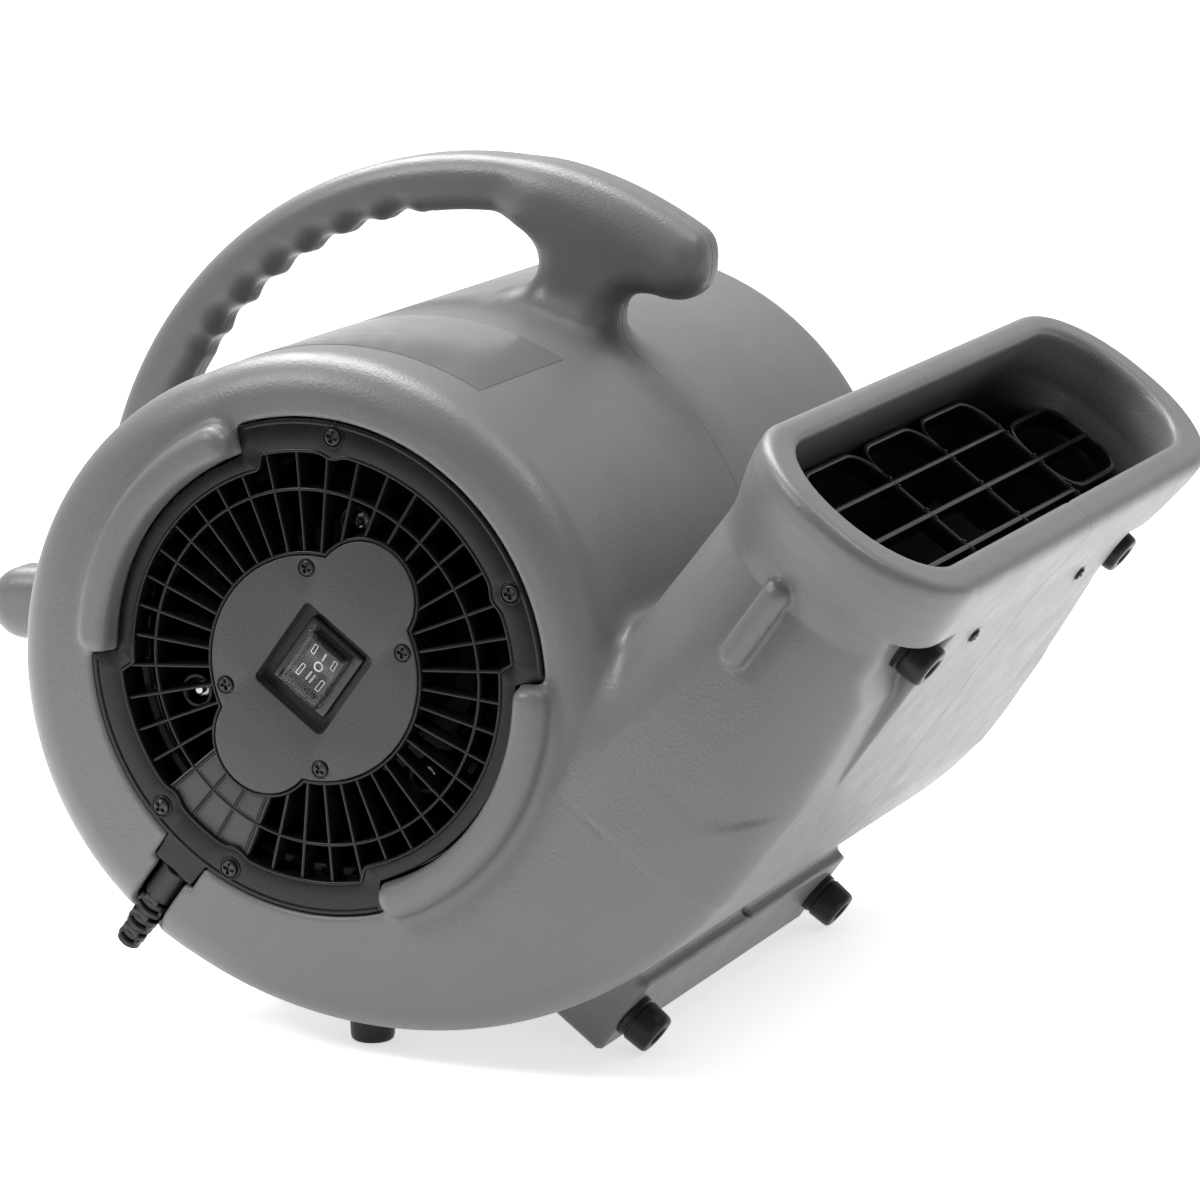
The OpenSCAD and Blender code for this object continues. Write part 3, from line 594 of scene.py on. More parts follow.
class Builder:
    """Collects closed shapes into one mesh."""

    def __init__(self):
        self.verts, self.faces, self.count = [], [], 0

    def add(self, shape, place=None):
        verts, faces = shape
        verts = np.asarray(verts, float)
        self.verts.append(verts if place is None else move(verts, place))
        self.faces.extend(tuple(i + self.count for i in f) for f in faces)
        self.count += len(verts)

    def make(self, name, body, replaced, mat, side=1, sharp=38):
        verts = np.concatenate(self.verts) * (1, 1, side)
        obj = add_mesh(name, verts, self.faces, sharp_deg=sharp)
        dress(obj, mat)
        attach(obj, body)
        if replaced:
            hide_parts(*replaced)
        return obj


def move(points, place):
    place = np.asarray(place)
    return np.asarray(points, float) @ place[:3, :3].T + place[:3, 3]


def shift(u, v, w):
    m = np.eye(4)
    m[:3, 3] = (u, v, w)
    return m


def turned(deg):
    """Turn about the fan axis."""
    return np.array(Matrix.Rotation(math.radians(deg), 4, "Z"))


def aimed(origin, direction):
    """Frame at the origin whose local z points along the direction."""
    m = np.array(Vector(direction).to_track_quat("Z", "Y").to_matrix().to_4x4())
    m[:3, 3] = origin
    return m


def spun(profile, count=40):
    """Profile of (radius, height) pairs turned about local z, closed at both ends."""
    t = np.linspace(0, 2 * math.pi, count, endpoint=False)
    return loft([np.stack([r * np.cos(t), r * np.sin(t), np.full(count, h)], 1) for r, h in profile])


def rounded_box(size, radius, steps=3):
    """Centred box whose edges are all rounded."""
    a, b, c = (s / 2 for s in size)
    r = min(radius, a, b, c)
    levels = []
    for i in range(steps + 1):
        t = math.pi / 2 * i / steps
        levels.append((r * (1 - math.sin(t)), -c + r * (1 - math.cos(t))))
    levels += [(inset, -h) for inset, h in reversed(levels)]
    rings = []
    for inset, h in levels:
        ring = []
        for sx, sy, start in ((1, 1, 0), (-1, 1, 90), (-1, -1, 180), (1, -1, 270)):
            for i in range(steps + 1):
                t = math.radians(start + 90 * i / steps)
                ring.append((sx * (a - r) + (r - inset) * math.cos(t),
                             sy * (b - r) + (r - inset) * math.sin(t), h))
        rings.append(ring)
    return loft(rings)


def inset_loop(loop, distance):
    """Moves a closed counter-clockwise loop inwards."""
    p = np.asarray(loop, float)
    total = np.zeros_like(p)
    for e in (p - np.roll(p, 1, 0), np.roll(p, -1, 0) - p):
        n = np.stack([-e[:, 1], e[:, 0]], 1)
        total += n / np.maximum(np.linalg.norm(n, axis=1, keepdims=True), 1e-9)
    size = np.maximum((total * total).sum(1, keepdims=True), 1.0)
    return p + total * 2.0 / size * distance


def level(loop, h):
    return np.column_stack([loop, np.full(len(loop), h)])


def rounding(edge, high, steps=3):
    """Pairs of inset and height over a rounded top edge."""
    angles = [math.pi / 2 * i / steps for i in range(steps + 1)]
    return [(edge * (1 - math.cos(t)), high - edge * (1 - math.sin(t))) for t in angles]


def band(outer, inner, low, high, edge=0.6):
    """Closed band between two loops of equal length, its top edges rounded."""
    rings = [level(outer, low)]
    rings += [level(inset_loop(outer, i), h) for i, h in rounding(edge, high)]
    rings += [level(inset_loop(inner, -i), h) for i, h in reversed(rounding(edge, high))]
    rings.append(level(inner, low))
    return loft(rings, wrap=True)


def lid(outer, low, high, edge=0.6):
    """Closed plate without holes, its top edge rounded."""
    return loft([level(outer, low)] + [level(inset_loop(outer, i), h) for i, h in rounding(edge, high)])


def holed_plate(outer, holes, low, high, edge=0.6):
    """Plate with holes; the holes are clockwise or counter-clockwise loops with rounded top edges."""
    walls, tops = [], []
    for loop, sign in [(outer, 1)] + [(h, -1) for h in holes]:
        walls.append([level(loop, low)] + [level(inset_loop(loop, sign * i), h)
                                           for i, h in rounding(edge, high)])
        tops.append(walls[-1][-1][:, :2])
    verts, faces, offset = [], [], 0
    starts = []
    for rings in walls:
        n = len(rings[0])
        starts.append((offset, offset + (len(rings) - 1) * n, n))
        for ring in rings:
            verts.append(ring)
        for i in range(len(rings) - 1):
            for j in range(n):
                k = (j + 1) % n
                a = offset + i * n
                faces.append((a + j, a + k, a + n + k, a + n + j))
        offset += len(rings) * n
    flat = [Vector(p) for loop in tops for p in loop]
    edges, index, at = [], [], 0
    for (first, last, n), loop in zip(starts, tops):
        edges += [(at + j, at + (j + 1) % n) for j in range(n)]
        index += [(first + j, last + j) for j in range(n)]
        at += n
    points, _, cells, origin, _, _ = geometry.delaunay_2d_cdt(flat, edges, [], 0, 1e-7)
    back = [o[0] if o else None for o in origin]
    for cell in cells:
        c = sum((np.array(points[i]) for i in cell), np.zeros(2)) / 3
        if any(back[i] is None for i in cell) or not inside(tops[0], c) or any(inside(h, c) for h in tops[1:]):
            continue
        faces.append(tuple(index[back[i]][1] for i in cell))
        faces.append(tuple(index[back[i]][0] for i in cell)[::-1])
    return np.concatenate(verts), faces


def inside(loop, p):
    """True when the point is inside the loop."""
    a, b = loop, np.roll(loop, -1, 0)
    cross = (a[:, 1] > p[1]) != (b[:, 1] > p[1])
    dy = np.where(b[:, 1] == a[:, 1], 1e-12, b[:, 1] - a[:, 1])
    return bool(np.count_nonzero(cross & (p[0] < (b[:, 0] - a[:, 0]) * (p[1] - a[:, 1]) / dy + a[:, 0])) % 2)


def polar_loop(radius, count=720):
    """Loop from a radius that depends on the angle in degrees."""
    a = np.arange(count) * 360.0 / count
    r = np.array([radius(x) for x in a])
    return np.stack([r * np.cos(np.radians(a)), r * np.sin(np.radians(a))], 1)


def circle(r, centre=(0.0, 0.0), count=40):
    t = np.linspace(0, 2 * math.pi, count, endpoint=False)
    return np.stack([centre[0] + r * np.cos(t), centre[1] + r * np.sin(t)], 1)


def box_loop(a, b, r, centre=(0.0, 0.0), steps=6):
    """Rounded rectangle loop of half sizes a and b."""
    loop = []
    for sx, sy, start in ((1, 1, 0), (-1, 1, 90), (-1, -1, 180), (1, -1, 270)):
        for i in range(steps + 1):
            t = math.radians(start + 90 * i / steps)
            loop.append((centre[0] + sx * (a - r) + r * math.cos(t),
                         centre[1] + sy * (b - r) + r * math.sin(t)))
    return np.array(loop)


def swept(path, half, depth, edge, closed):
    """Bar of rectangular section with rounded front edges along a path in the plane."""
    p = np.asarray(path, float)
    if closed:
        before, after = np.roll(p, 1, 0), np.roll(p, -1, 0)
    else:
        before = np.concatenate([p[:1], p[:-1]])
        after = np.concatenate([p[1:], p[-1:]])
    d = after - before
    n = np.stack([-d[:, 1], d[:, 0]], 1) / np.linalg.norm(d, axis=1, keepdims=True)
    outline = [(-half, -depth), (half, -depth), (half, -edge), (half - 0.3 * edge, -0.3 * edge),
               (half - edge, 0), (-half + edge, 0), (-half + 0.3 * edge, -0.3 * edge), (-half, -edge)]
    rings = [[(q[0] + m[0] * x, q[1] + m[1] * x, h) for x, h in outline] for q, m in zip(p, n)]
    return loft(rings, wrap=closed)


def phillips(radius, dome, count=88):
    """Pan head with a cross recess, seat at local height 0."""
    t = np.linspace(0, 2 * math.pi, count, endpoint=False)
    shell = [(1.0, 0.0), (1.0, dome * 0.40), (0.96, dome * 0.72), (0.88, dome * 0.93), (0.8, dome)]
    shell += [(0.8 - 0.032 * k, dome) for k in range(1, 25)]
    rings = []
    for f, h in shell:
        x, y = f * radius * np.cos(t), f * radius * np.sin(t)
        z = np.full(count, h)
        if f < 0.78:
            arm, blade = 0.62 * radius, 0.17 * radius
            gap = np.minimum(np.maximum(np.abs(x) / arm, np.abs(y) / blade),
                             np.maximum(np.abs(y) / arm, np.abs(x) / blade))
            z = z - 0.5 * radius * np.clip((1.22 - gap) / 0.4, 0, 1)
        rings.append(np.stack([x, y, z], 1))
    return loft(rings)


# ---- inlet grilles -------------------------------------------------------------------------
HUB_R, LOBE_R, LOBE_U = 58.0, 28.0, 49.0
RIB_COUNT, RIB_HALF, RIB_D = 40, 0.9, 11.0
RIB_TOP = FACE_W - 1.0
MID_RING_R = 91.0
SCREW_ANGLES, SCREW_R = (30.0, -30.0, 168.4, -168.4), 119.5
CABLE_HALF = 13.5
BOLT_ANGLES, BOLT_R, BOSS_W = (22.0, 142.0, 262.0), 76.0, 172.0


def hub_radius(angle, grow=0.0):
    best = HUB_R + grow
    for centre in (0.0, 180.0):
        t = math.radians(turn(angle, centre))
        reach = (LOBE_R + grow) ** 2 - (LOBE_U * math.sin(t)) ** 2
        if reach > 0 and math.cos(t) > 0:
            best = max(best, LOBE_U * math.cos(t) + math.sqrt(reach))
    return best


def stepped(angle, wide, narrow, grow=0.0, ramp=1.8):
    """Radius that is wide in the two flange sectors and narrow in the notches, with soft steps."""
    best = 0.0
    for centre, half in SECTORS:
        t = (half + grow - abs(turn(angle, centre))) / ramp + 0.5
        best = max(best, min(max(t, 0.0), 1.0))
    best = best * best * (3 - 2 * best)
    return narrow + (wide - narrow) * best


def flange_outer(angle):
    return stepped(angle, FLANGE_R, NOTCH_R)


def flange_inner(angle):
    r = stepped(angle, OPENING_R, 103.6, grow=-3.4, ramp=3.0)
    for spot in SCREW_ANGLES:
        r -= 2.4 * math.exp(-(turn(angle, spot) / 2.7) ** 2)
    return r


def tab_outer(angle):
    """Flange edge with the tab over the lead."""
    off = abs(turn(angle, 180.0))
    reach = 140.6 / math.cos(math.radians(off))
    soft = min(max((5.5 - off) / 0.8 + 0.5, 0.0), 1.0)
    return FLANGE_R + (reach - FLANGE_R) * soft if off < 8 else flange_outer(angle)


def spot(angle, r):
    return r * math.cos(math.radians(angle)), r * math.sin(math.radians(angle))


def inlet_grille(name, side, with_lead):
    b = Builder()
    outer = polar_loop(tab_outer)
    inner = polar_loop(flange_inner)
    holes = [circle(2.3, spot(a, SCREW_R), 24) for a in SCREW_ANGLES]
    b.add(holed_plate(outer, [inner] + holes, FACE_W - 4.0, FACE_W, 0.8))
    lip = polar_loop(lambda a: flange_inner(a) + 0.6)
    b.add(band(lip, inset_loop(lip, 1.9), RIB_TOP - RIB_D, FACE_W + 0.5, 0.7))
    for centre, half in SECTORS:
        arc_a = np.radians(np.linspace(centre - half + 2.2, centre + half - 2.2, 90))
        r = FLANGE_R - 1.6
        path = [(r * math.cos(a), r * math.sin(a)) for a in arc_a]
        b.add(swept(path, 1.3, 3.0, 0.6, False), shift(0, 0, FACE_W + 0.55))
    for a in SCREW_ANGLES:
        b.add(band(circle(6.1, spot(a, SCREW_R), 40), circle(4.9, spot(a, SCREW_R), 40),
                   FACE_W - 1.0, FACE_W + 0.7, 0.5))
    rim = polar_loop(lambda a: hub_radius(a, 1.9))
    b.add(band(rim, polar_loop(lambda a: hub_radius(a, 0.25)), RIB_TOP - RIB_D, RIB_TOP + 0.9, 0.6))
    b.add(band(circle(MID_RING_R + RIB_HALF, count=240), circle(MID_RING_R - RIB_HALF, count=240),
               RIB_TOP - RIB_D, RIB_TOP, 0.7))
    for i in range(RIB_COUNT):
        a = (i + 0.5) * 360.0 / RIB_COUNT
        path = [spot(a, r) for r in np.linspace(hub_radius(a, 1.0), flange_inner(a) - 0.2, 6)]
        b.add(swept(path, RIB_HALF, RIB_D, 0.7, False), shift(0, 0, RIB_TOP))
    if with_lead:
        cover = Builder()
        lead_cover(cover)
        cover.make("lead_cover_plate", "housing", [], PLATE)
        for a in BOLT_ANGLES:
            b.add(spun([(3.2, BOSS_W), (9, BOSS_W), (9, 194.6), (8.5, 195.3), (7.1, 195.3), (6.6, 194.8),
                        (6.6, 186), (3.2, 186)], 36), turned(a) @ shift(BOLT_R, 0, 0))
    else:
        b.add(rounded_box((36.0, 17.6, 12.0), 3.0), shift(-147.5, 0, 199.5))
        b.add(lid(polar_loop(lambda a: hub_radius(a, 0.6)), FACE_W - 4.0, FACE_W - 1.0, 0.8))
        for grow in (-8.0, -20.0):
            path = polar_loop(lambda a: hub_radius(a, grow), 360)
            b.add(swept(path, 0.9, 2.0, 0.5, True), shift(0, 0, FACE_W - 0.2))
    b.make(name + "_moulding", "housing", [name], BLACK, side)


def lead_cover(b):
    """Filled sector over the supply lead; its ribs stand a little proud."""
    span = np.linspace(180 - CABLE_HALF, 180 + CABLE_HALF, 25)
    loop = [spot(a, flange_inner(a) + 0.6) for a in span] + [spot(a, hub_radius(a, 1.0)) for a in span[::-1]]
    b.add(lid(np.array(loop), 193.0, RIB_TOP - 0.9, 0.4))
    for a in (180 - CABLE_HALF, 180 - 4.5, 180 + 4.5, 180 + CABLE_HALF):
        for off in (-0.9, 0.9):
            path = [spot(a + off * 90 / r, r) for r in np.linspace(hub_radius(a, 1.0), flange_inner(a), 6)]
            b.add(swept(path, 0.5, 3.0, 0.3, False), shift(0, 0, RIB_TOP - 0.35))
    for r in (MID_RING_R - 0.9, MID_RING_R + 0.9):
        b.add(swept([spot(a, r) for a in span], 0.5, 3.0, 0.3, False), shift(0, 0, RIB_TOP - 0.35))


inlet_grille("switch_side_grille", 1, True)
inlet_grille("plain_side_grille", -1, False)

b = Builder()
for a in BOLT_ANGLES:
    hexagon = circle(4.6, (0.0, 0.0), 6)
    place = turned(a) @ shift(BOLT_R, 0, 0)
    b.add(lid(hexagon, 186.0, 189.4, 0.5), place)
    b.add(spun([(3.0, 145.0), (3.0, 186.5)], 24), place)
    b.add(spun([(2.4, 189.0), (2.4, 192.6), (1.9, 193.2)], 24), place)
    b.add(lid(circle(5.6, (0.0, 0.0), 6), 145.2, 149.8, 0.4), place)
b.make("mount_bolt_set", "housing", ["mount_bolts"], ZINC)

MOUTH = [(112.2, 195.0), (110.7, 195.0), (110.7, 189.4)]
MOUTH += [(111.0 - 7.8 * math.sin(t), 181.4 + 7.8 * math.cos(t)) for t in np.linspace(0.05, math.pi / 2, 10)]
MOUTH += [(103.2, 150.0), (105.0, 150.0), (105.0, 181.0), (112.2, 187.4)]
for name, side in (("switch_side_inlet_ring", 1), ("plain_side_inlet_ring", -1)):
    t = np.linspace(0, 2 * math.pi, 180, endpoint=False)
    b = Builder()
    b.add(loft([np.stack([r * np.cos(t), r * np.sin(t), np.full(180, h)], 1) for r, h in MOUTH], wrap=True))
    b.make(name + "_bellmouth", "housing", [name], RING, side)

for name, side in (("switch_side_grille_screws", 1), ("plain_side_grille_screws", -1)):
    b = Builder()
    for n, a in enumerate(SCREW_ANGLES):
        place = shift(*spot(a, SCREW_R), FACE_W + 0.05) @ turned(17.0 + 31.0 * n)
        b.add(phillips(4.2, 1.9), place)
        b.add(spun([(2.0, -11.5), (2.0, 0.2)], 16), place)
    b.make(name + "_heads", "housing", [name], DARK, side)

# ---- control plate and switch --------------------------------------------------------------
PLATE_W = FACE_W + 0.5
PLATE_SCREWS, PLATE_SCREW_R = (39.5, 140.5, 219.5, 320.5), 51.5
SWITCH_W = PLATE_W - 9.0
ROCKER_W = SWITCH_W - 1.8

b = Builder()
holes = [box_loop(26.0, 23.0, 3.0)] + [circle(4.7, spot(a, PLATE_SCREW_R)) for a in PLATE_SCREWS]
b.add(holed_plate(polar_loop(lambda a: hub_radius(a, -0.35)), holes, PLATE_W - 3.0, PLATE_W, 0.7))
for a in PLATE_SCREWS:
    b.add(band(circle(6.0, spot(a, PLATE_SCREW_R)), circle(2.0, spot(a, PLATE_SCREW_R)),
               PLATE_W - 9.5, PLATE_W - 1.3, 0.2))
pocket = box_loop(26.0, 23.0, 3.0)
b.add(band(box_loop(28.0, 25.0, 4.0), pocket, SWITCH_W - 2.0, PLATE_W - 0.8, 0.2))
b.add(band(box_loop(26.5, 23.5, 3.0), box_loop(15.0, 11.5, 0.6), SWITCH_W - 2.0, SWITCH_W, 0.2))
b.make("control_plate_moulding", "housing", ["control_plate"], PLATE)

b = Builder()
for n, a in enumerate(PLATE_SCREWS):
    place = shift(*spot(a, PLATE_SCREW_R), PLATE_W - 1.2) @ turned(8.0 + 37.0 * n)
    b.add(phillips(3.9, 1.7), place)
    b.add(spun([(1.6, -10.5), (1.6, 0.2)], 16), place)
b.make("control_plate_screw_heads", "housing", ["control_plate_screws"], DARK)

b = Builder()
b.add(band(box_loop(20.0, 17.5, 1.6), box_loop(14.5, 11.0, 0.6), SWITCH_W, SWITCH_W + 4.0, 0.9))
b.make("switch_frame_bezel", "housing", ["switch_frame"], GLOSS)


def rocker_top(x):
    """Height of the rocker's dished face over its pin."""
    return min(32.0 - math.sqrt(27.0 ** 2 - x * x), math.sqrt(max(12.9 ** 2 - x * x, 1.0)))


b = Builder()
profile = [(-12.3, -5.0), (12.3, -5.0)] + [(x, rocker_top(x)) for x in
                                           (12.3, 11.8, 11.2, 10.7, 10.2, 8, 5, 2, 0, -2, -5, -8, -10.2,
                                            -10.7, -11.2, -11.8, -12.3)]
rings = []
for v, pull in ((-9.4, 0.5), (-8.9, 0.0), (8.9, 0.0), (9.4, 0.5)):
    rings.append([(x * (1 - pull / 12.5), v, ROCKER_W + h - (pull if h > 0 else 0)) for x, h in profile])
b.add(loft(rings))
b.add(spun([(1.2, -10.7), (1.2, 10.7)], 20), shift(0, 0, ROCKER_W)
      @ np.array(Matrix.Rotation(math.radians(90), 4, "X")))
b.make("switch_rocker_cap", "rocker", ["switch_rocker"], GLOSS)


def mark(b, outer, inner):
    """A raised mark that follows the rocker's face."""
    verts, faces = band(outer, inner, 0.0, 0.22, 0.05)
    verts[:, 2] += ROCKER_W - 0.05 + np.array([rocker_top(x) for x in verts[:, 0]])
    b.add((verts, faces))


b = Builder()
mark(b, circle(2.6, (0.0, 0.0), 32), circle(1.8, (0.0, 0.0), 32))
mark(b, box_loop(2.5, 0.5, 0.4, (6.4, 0.0)), box_loop(2.2, 0.15, 0.1, (6.4, 0.0)))
for v in (-1.3, 1.3):
    mark(b, box_loop(2.5, 0.45, 0.4, (-6.8, v)), box_loop(2.2, 0.12, 0.1, (-6.8, v)))
for x in (-7.0, 6.4):
    for v in (-6.6, 6.6):
        mark(b, box_loop(3.0, 1.2, 0.3, (x, v)), box_loop(2.65, 0.85, 0.2, (x, v)))
b.make("switch_rocker_marks", "rocker", [], MARK)

b = Builder()
rings = []
low, high = SWITCH_W + 3.9, SWITCH_W + 10.8
for a, c, r, h in ((17.0, 13.5, 1.0, low), (16.6, 13.1, 1.2, high - 1.6), (16.1, 12.6, 1.4, high - 0.5),
                   (15.0, 11.5, 1.4, high), (13.2, 9.7, 1.2, high - 0.35), (13.2, 9.7, 1.2, high - 1.3),
                   (15.2, 11.7, 1.2, high - 1.5), (15.7, 12.2, 1.0, low)):
    rings.append(level(box_loop(a, c, r), h))
outer_rings, inner_rings = rings[:5], rings[5:][::-1]
b.add(loft(outer_rings[::-1] + inner_rings))
b.make("switch_cover_shell", "housing", ["switch_cover"], CLEAR)

# ---- blank label on the barrel -------------------------------------------------------------
LABEL_SPAN, LABEL_WIDTH = (8.5, 58.0), (66.0, 166.0)
angles = np.radians(np.linspace(*LABEL_SPAN, 61))
places = np.linspace(*LABEL_WIDTH, 9)
grid_a, grid_w = np.meshgrid(angles, places, indexing="ij")
radii = np.full(grid_a.shape, BARREL_R)
for _ in range(4):
    radii -= housing_field(radii * np.cos(grid_a), radii * np.sin(grid_a), grid_w)
rings = []
for n in range(len(angles)):
    lift = [-0.5] + [0.22] * len(places) + [-0.5]
    row = np.concatenate([[0], np.arange(len(places)), [len(places) - 1]])
    r = radii[n][row] + lift
    rings.append(np.stack([r * math.cos(angles[n]), r * math.sin(angles[n]), grid_w[n][row]], 1))
b = Builder()
b.add(loft(rings))
b.make("blank_label", "housing", [], LABEL, sharp=30)

# ---- supply side ---------------------------------------------------------------------------
b = Builder()
out = aimed((-141.0, 0.0, 200.0), (-1.0, 0.0, 0.0))
b.add(spun([(8.0, 0.0), (8.5, 0.6), (8.5, 18.9), (7.9, 19.6)], 48), out)
b.add(spun([(4.9, 15.0), (4.3, 53.0), (3.9, 54.0)], 40), out)
for i in range(6):
    r, h = 8.6 - 0.42 * i, 21.2 + i * 5.6
    b.add(spun([(r - 0.7, h), (r, h + 0.7), (r, h + 2.9), (r - 0.7, h + 3.6)], 48), out)
    for side_a in ((0, 180) if i % 2 else (90, 270)):
        b.add(rounded_box((2.4, 8.4, 3.4), 0.5),
              out @ turned(side_a) @ shift(r - 1.45, 0, h - 1.0))
b.make("strain_relief_sleeve", "housing", ["strain_relief"], CORD)

# ---- feet ----------------------------------------------------------------------------------
FOOT = [(0.4, 0.0), (11.6, 0.0), (12.0, 0.5), (11.9, 3.0), (11.2, 3.6), (11.2, 4.6), (11.9, 5.2),
        (11.4, 15.0), (11.0, 16.8), (10.1, 17.7), (8.8, 18.0), (6.6, 18.0), (5.8, 17.6), (5.5, 17.0),
        (5.5, 12.0), (0.4, 12.0)]
DOWN = (0.0, -1.0, 0.0)
FLOORWARD = (-SIN, -COS, 0.0)
BLOCK_BOTTOM = -220.5
FEET = {
    "base_feet": ((-68.0, BLOCK_BOTTOM, 126.0), DOWN),
    "outlet_feet": ((193.0, BLOCK_BOTTOM, 146.0), DOWN),
    "stand_feet": ((-160.0 + 18.0 * SIN, -127.0 + 18.0 * COS, 163.0), FLOORWARD),
}
for name, (base, direction) in FEET.items():
    b = Builder()
    for side in (1, -1):
        b.add(spun(FOOT, 56), aimed((base[0], base[1], side * base[2]), direction))
    b.make(name + "_rubbers", "housing", [name], RUBBER)
b = Builder()
for base, direction in FEET.values():
    for side in (1, -1):
        place = aimed((base[0], base[1], side * base[2]), direction)
        b.add(phillips(4.6, 2.3), place @ shift(0, 0, 12.05))
        b.add(spun([(2.5, -7.9), (2.5, 12.2)], 16), place)
b.make("foot_screw_heads", "housing", ["foot_screws"], DARK)

# ---- outlet grille -------------------------------------------------------------------------
GRILLE_U, GRILLE_D = 203.0, 10.0
ROWS = [DUCT_BOTTOM + 11.0 + 25.0 * i for i in range(5)]
b = Builder()
across = np.eye(4)
across[:3, :3] = [[0, 0, 1], [0, 1, 0], [-1, 0, 0]]
front = shift(GRILLE_U + GRILLE_D, 0, 0) @ across
mid_v = (ROWS[0] + ROWS[4]) / 2


def bar(path, closed=False):
    b.add(swept(path, 1.8, GRILLE_D, 1.6, closed), front)


def arch(x0, x1, y0, y1, r):
    """Path up, across and down again with rounded corners."""
    path = [(x0, y0)]
    for cx, start in ((x0 + math.copysign(r, x1 - x0), 180), (x1 - math.copysign(r, x1 - x0), 90)):
        for k in range(9):
            t = math.radians(start - 90 * k / 8)
            path.append((cx + math.copysign(r, x1 - x0) * math.cos(t),
                         y1 - math.copysign(r, y1 - y0) * (1 - math.sin(t))))
    return path + [(x1, y0)]


for v0, v1 in ((ROWS[3], ROWS[4]), (ROWS[1], ROWS[0])):
    for x0, x1 in ((-122.0, -40.0), (-40.0, 40.0), (40.0, 122.0)):
        bar(arch(x0, x1, v0, v1, 17.0))
for side in (-1, 1):
    for v0, v1 in ((ROWS[2], ROWS[3]), (ROWS[2], ROWS[1])):
        bar(arch(side * 122.0, side * 203.0, v0, v1, 19.0))
    bar([(side * 122.0, v) for v in np.linspace(ROWS[1], ROWS[3], 8)])
    bar([(side * 40.0, v) for v in np.linspace(ROWS[0] + 14, ROWS[4] - 14, 10)])
for row in (ROWS[1], ROWS[3]):
    bar([(x, row) for x in np.linspace(-122.0, 122.0, 20)])
bar([(x, ROWS[2]) for x in np.linspace(-203.0, 203.0, 30)])
for side in (-1, 1):
    b.add(rounded_box((26.0, 3.0, 24.0), 1.0), shift(GRILLE_U - 9.0, ROWS[0] + 0.3, side * 80.0))
    for w in (40.0, 122.0):
        for v in ROWS[1:4]:
            for off in (-3.0, 3.0):
                b.add(spun([(1.3, -4.0), (1.3, -0.2), (0.9, 0.4), (0.3, 0.6)], 12),
                      front @ shift(side * w, v + off, 0.1))
b.make("outlet_grille_moulding", "housing", ["outlet_grille"], BARS)

b = Builder()
for side in (-1, 1):
    place = aimed((194.0, DUCT_BOTTOM - 0.2, side * 80.0), DOWN)
    b.add(phillips(3.7, 1.5), place @ turned(25.0 * side))
    b.add(spun([(1.6, -8.5), (1.6, 0.2)], 16), place)
b.make("outlet_grille_screw_heads", "housing", ["outlet_grille_screws"], DARK)

# ---- stage, light and camera ---------------------------------------------------------------


VIEW_SIDE = (-0.41, 0.91, 0.0)


def falloff(tree, vector, low, high, bottom, top):
    """Smooth step along the direction from the camera's side to the back."""
    along = tree.nodes.new("ShaderNodeVectorMath")
    along.operation = "DOT_PRODUCT"
    along.inputs[1].default_value = VIEW_SIDE
    tree.links.new(vector, along.inputs[0])
    step = tree.nodes.new("ShaderNodeMapRange")
    step.interpolation_type = "SMOOTHSTEP"
    for key, value in (("From Min", low), ("From Max", high), ("To Min", bottom), ("To Max", top)):
        step.inputs[key].default_value = value
    tree.links.new(along.outputs["Value"], step.inputs["Value"])
    return step.outputs["Result"]


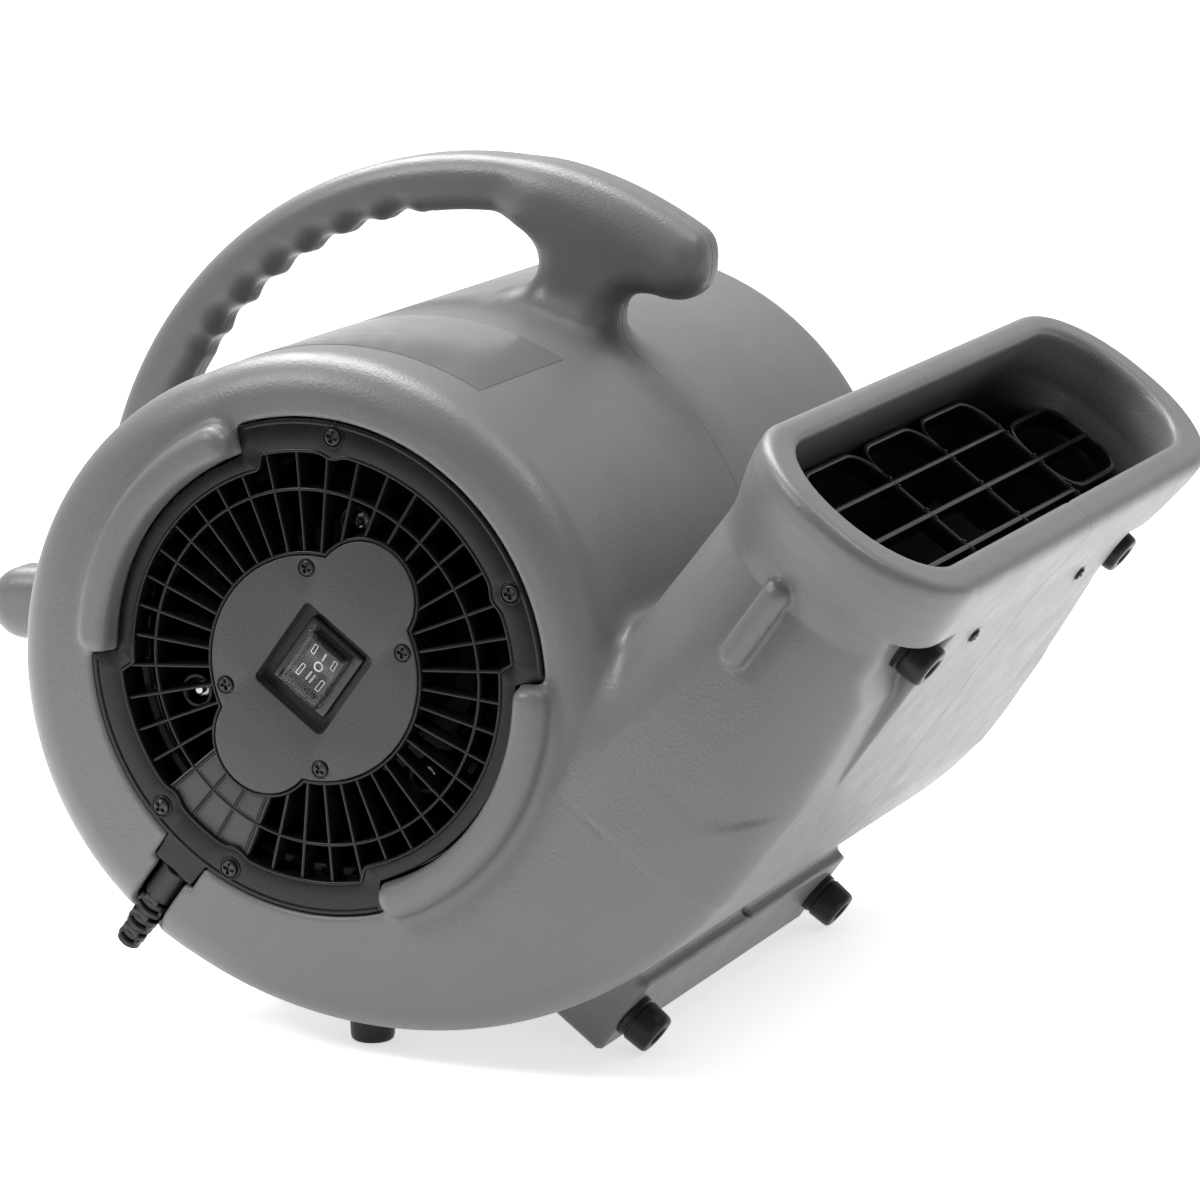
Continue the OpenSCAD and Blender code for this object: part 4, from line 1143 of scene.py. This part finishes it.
def stage_floor():
    size = 14.0
    mesh = bpy.data.meshes.new("studio_floor")
    mesh.from_pydata([(-size, -size, 0), (size, -size, 0), (size, size, 0), (-size, size, 0)], [],
                     [(0, 1, 2, 3)])
    obj = bpy.data.objects.new("studio_floor", mesh)
    bpy.context.scene.collection.objects.link(obj)
    obj.location.z = -0.0005
    mat, bsdf = material("floor_painted_glow_and_shade", (0.88, 0.88, 0.88), 0.7, spread=0.01, gloss=0.1)
    tree = mat.node_tree
    coord = tree.nodes.new("ShaderNodeTexCoord")
    # Painted light: the floor glows, weakly on the camera's side and more towards the back.
    bsdf.inputs["Emission Color"].default_value = (1, 1, 1, 1)
    tree.links.new(falloff(tree, coord.outputs["Object"], -1.1, -0.50, 0.02, 0.62),
                   bsdf.inputs["Emission Strength"])
    # Painted shade: the floor's colour is darkened towards the camera's side.
    painted_shade_colour = tree.nodes.new("ShaderNodeVectorMath")
    painted_shade_colour.operation = "SCALE"
    tree.links.new(bsdf.inputs["Base Color"].links[0].from_socket, painted_shade_colour.inputs[0])
    tree.links.new(falloff(tree, coord.outputs["Object"], -1.1, -0.50, 0.25, 1.0), painted_shade_colour.inputs["Scale"])
    tree.links.new(painted_shade_colour.outputs["Vector"], bsdf.inputs["Base Color"])
    dress(obj, mat)


stage_floor()


def area(name, place, aim, size, power, size_y=None):
    light = bpy.data.lights.new(name, "AREA")
    light.shape = "RECTANGLE"
    light.size = size
    light.size_y = size_y or size
    light.energy = power
    obj = bpy.data.objects.new(name, light)
    bpy.context.scene.collection.objects.link(obj)
    obj.location = place
    obj.rotation_euler = (Vector(aim) - Vector(place)).to_track_quat("-Z", "Y").to_euler()
    return obj


area("key_left", (-1.5, -1.7, 2.2), (0, -0.1, 0.2), 0.9, 58)
area("high_right", (1.7, 0.1, 2.6), (0.1, 0, 0.3), 0.8, 30)
area("top_strip", (-0.7, 0.5, 2.1), (0, 0, 0.25), 0.7, 84, 2.4)
area("fill_right", (2.6, -1.4, 0.7), (0.1, 0, 0.25), 1.2, 7)
world = bpy.data.worlds.new("studio")
world.use_nodes = True
tree = world.node_tree
coord = tree.nodes.new("ShaderNodeTexCoord")
tree.nodes["Background"].inputs["Color"].default_value = (1, 1, 1, 1)
tree.links.new(falloff(tree, coord.outputs["Generated"], -0.2, 0.8, 0.26, 0.86),
               tree.nodes["Background"].inputs["Strength"])
bpy.context.scene.world = world
bpy.context.scene.view_settings.view_transform = "Standard"

camera = bpy.data.cameras.new("photo_camera")
camera.lens = 150.0
camera.sensor_width = 36.0
camera.clip_end = 30.0
view = bpy.data.objects.new("photo_camera", camera)
bpy.context.scene.collection.objects.link(view)
view.location = (1.114, -2.364, 0.776)
view.rotation_euler = Vector((-0.4022, 0.8898, -0.2155)).to_track_quat("-Z", "Y").to_euler()
bpy.context.scene.camera = view
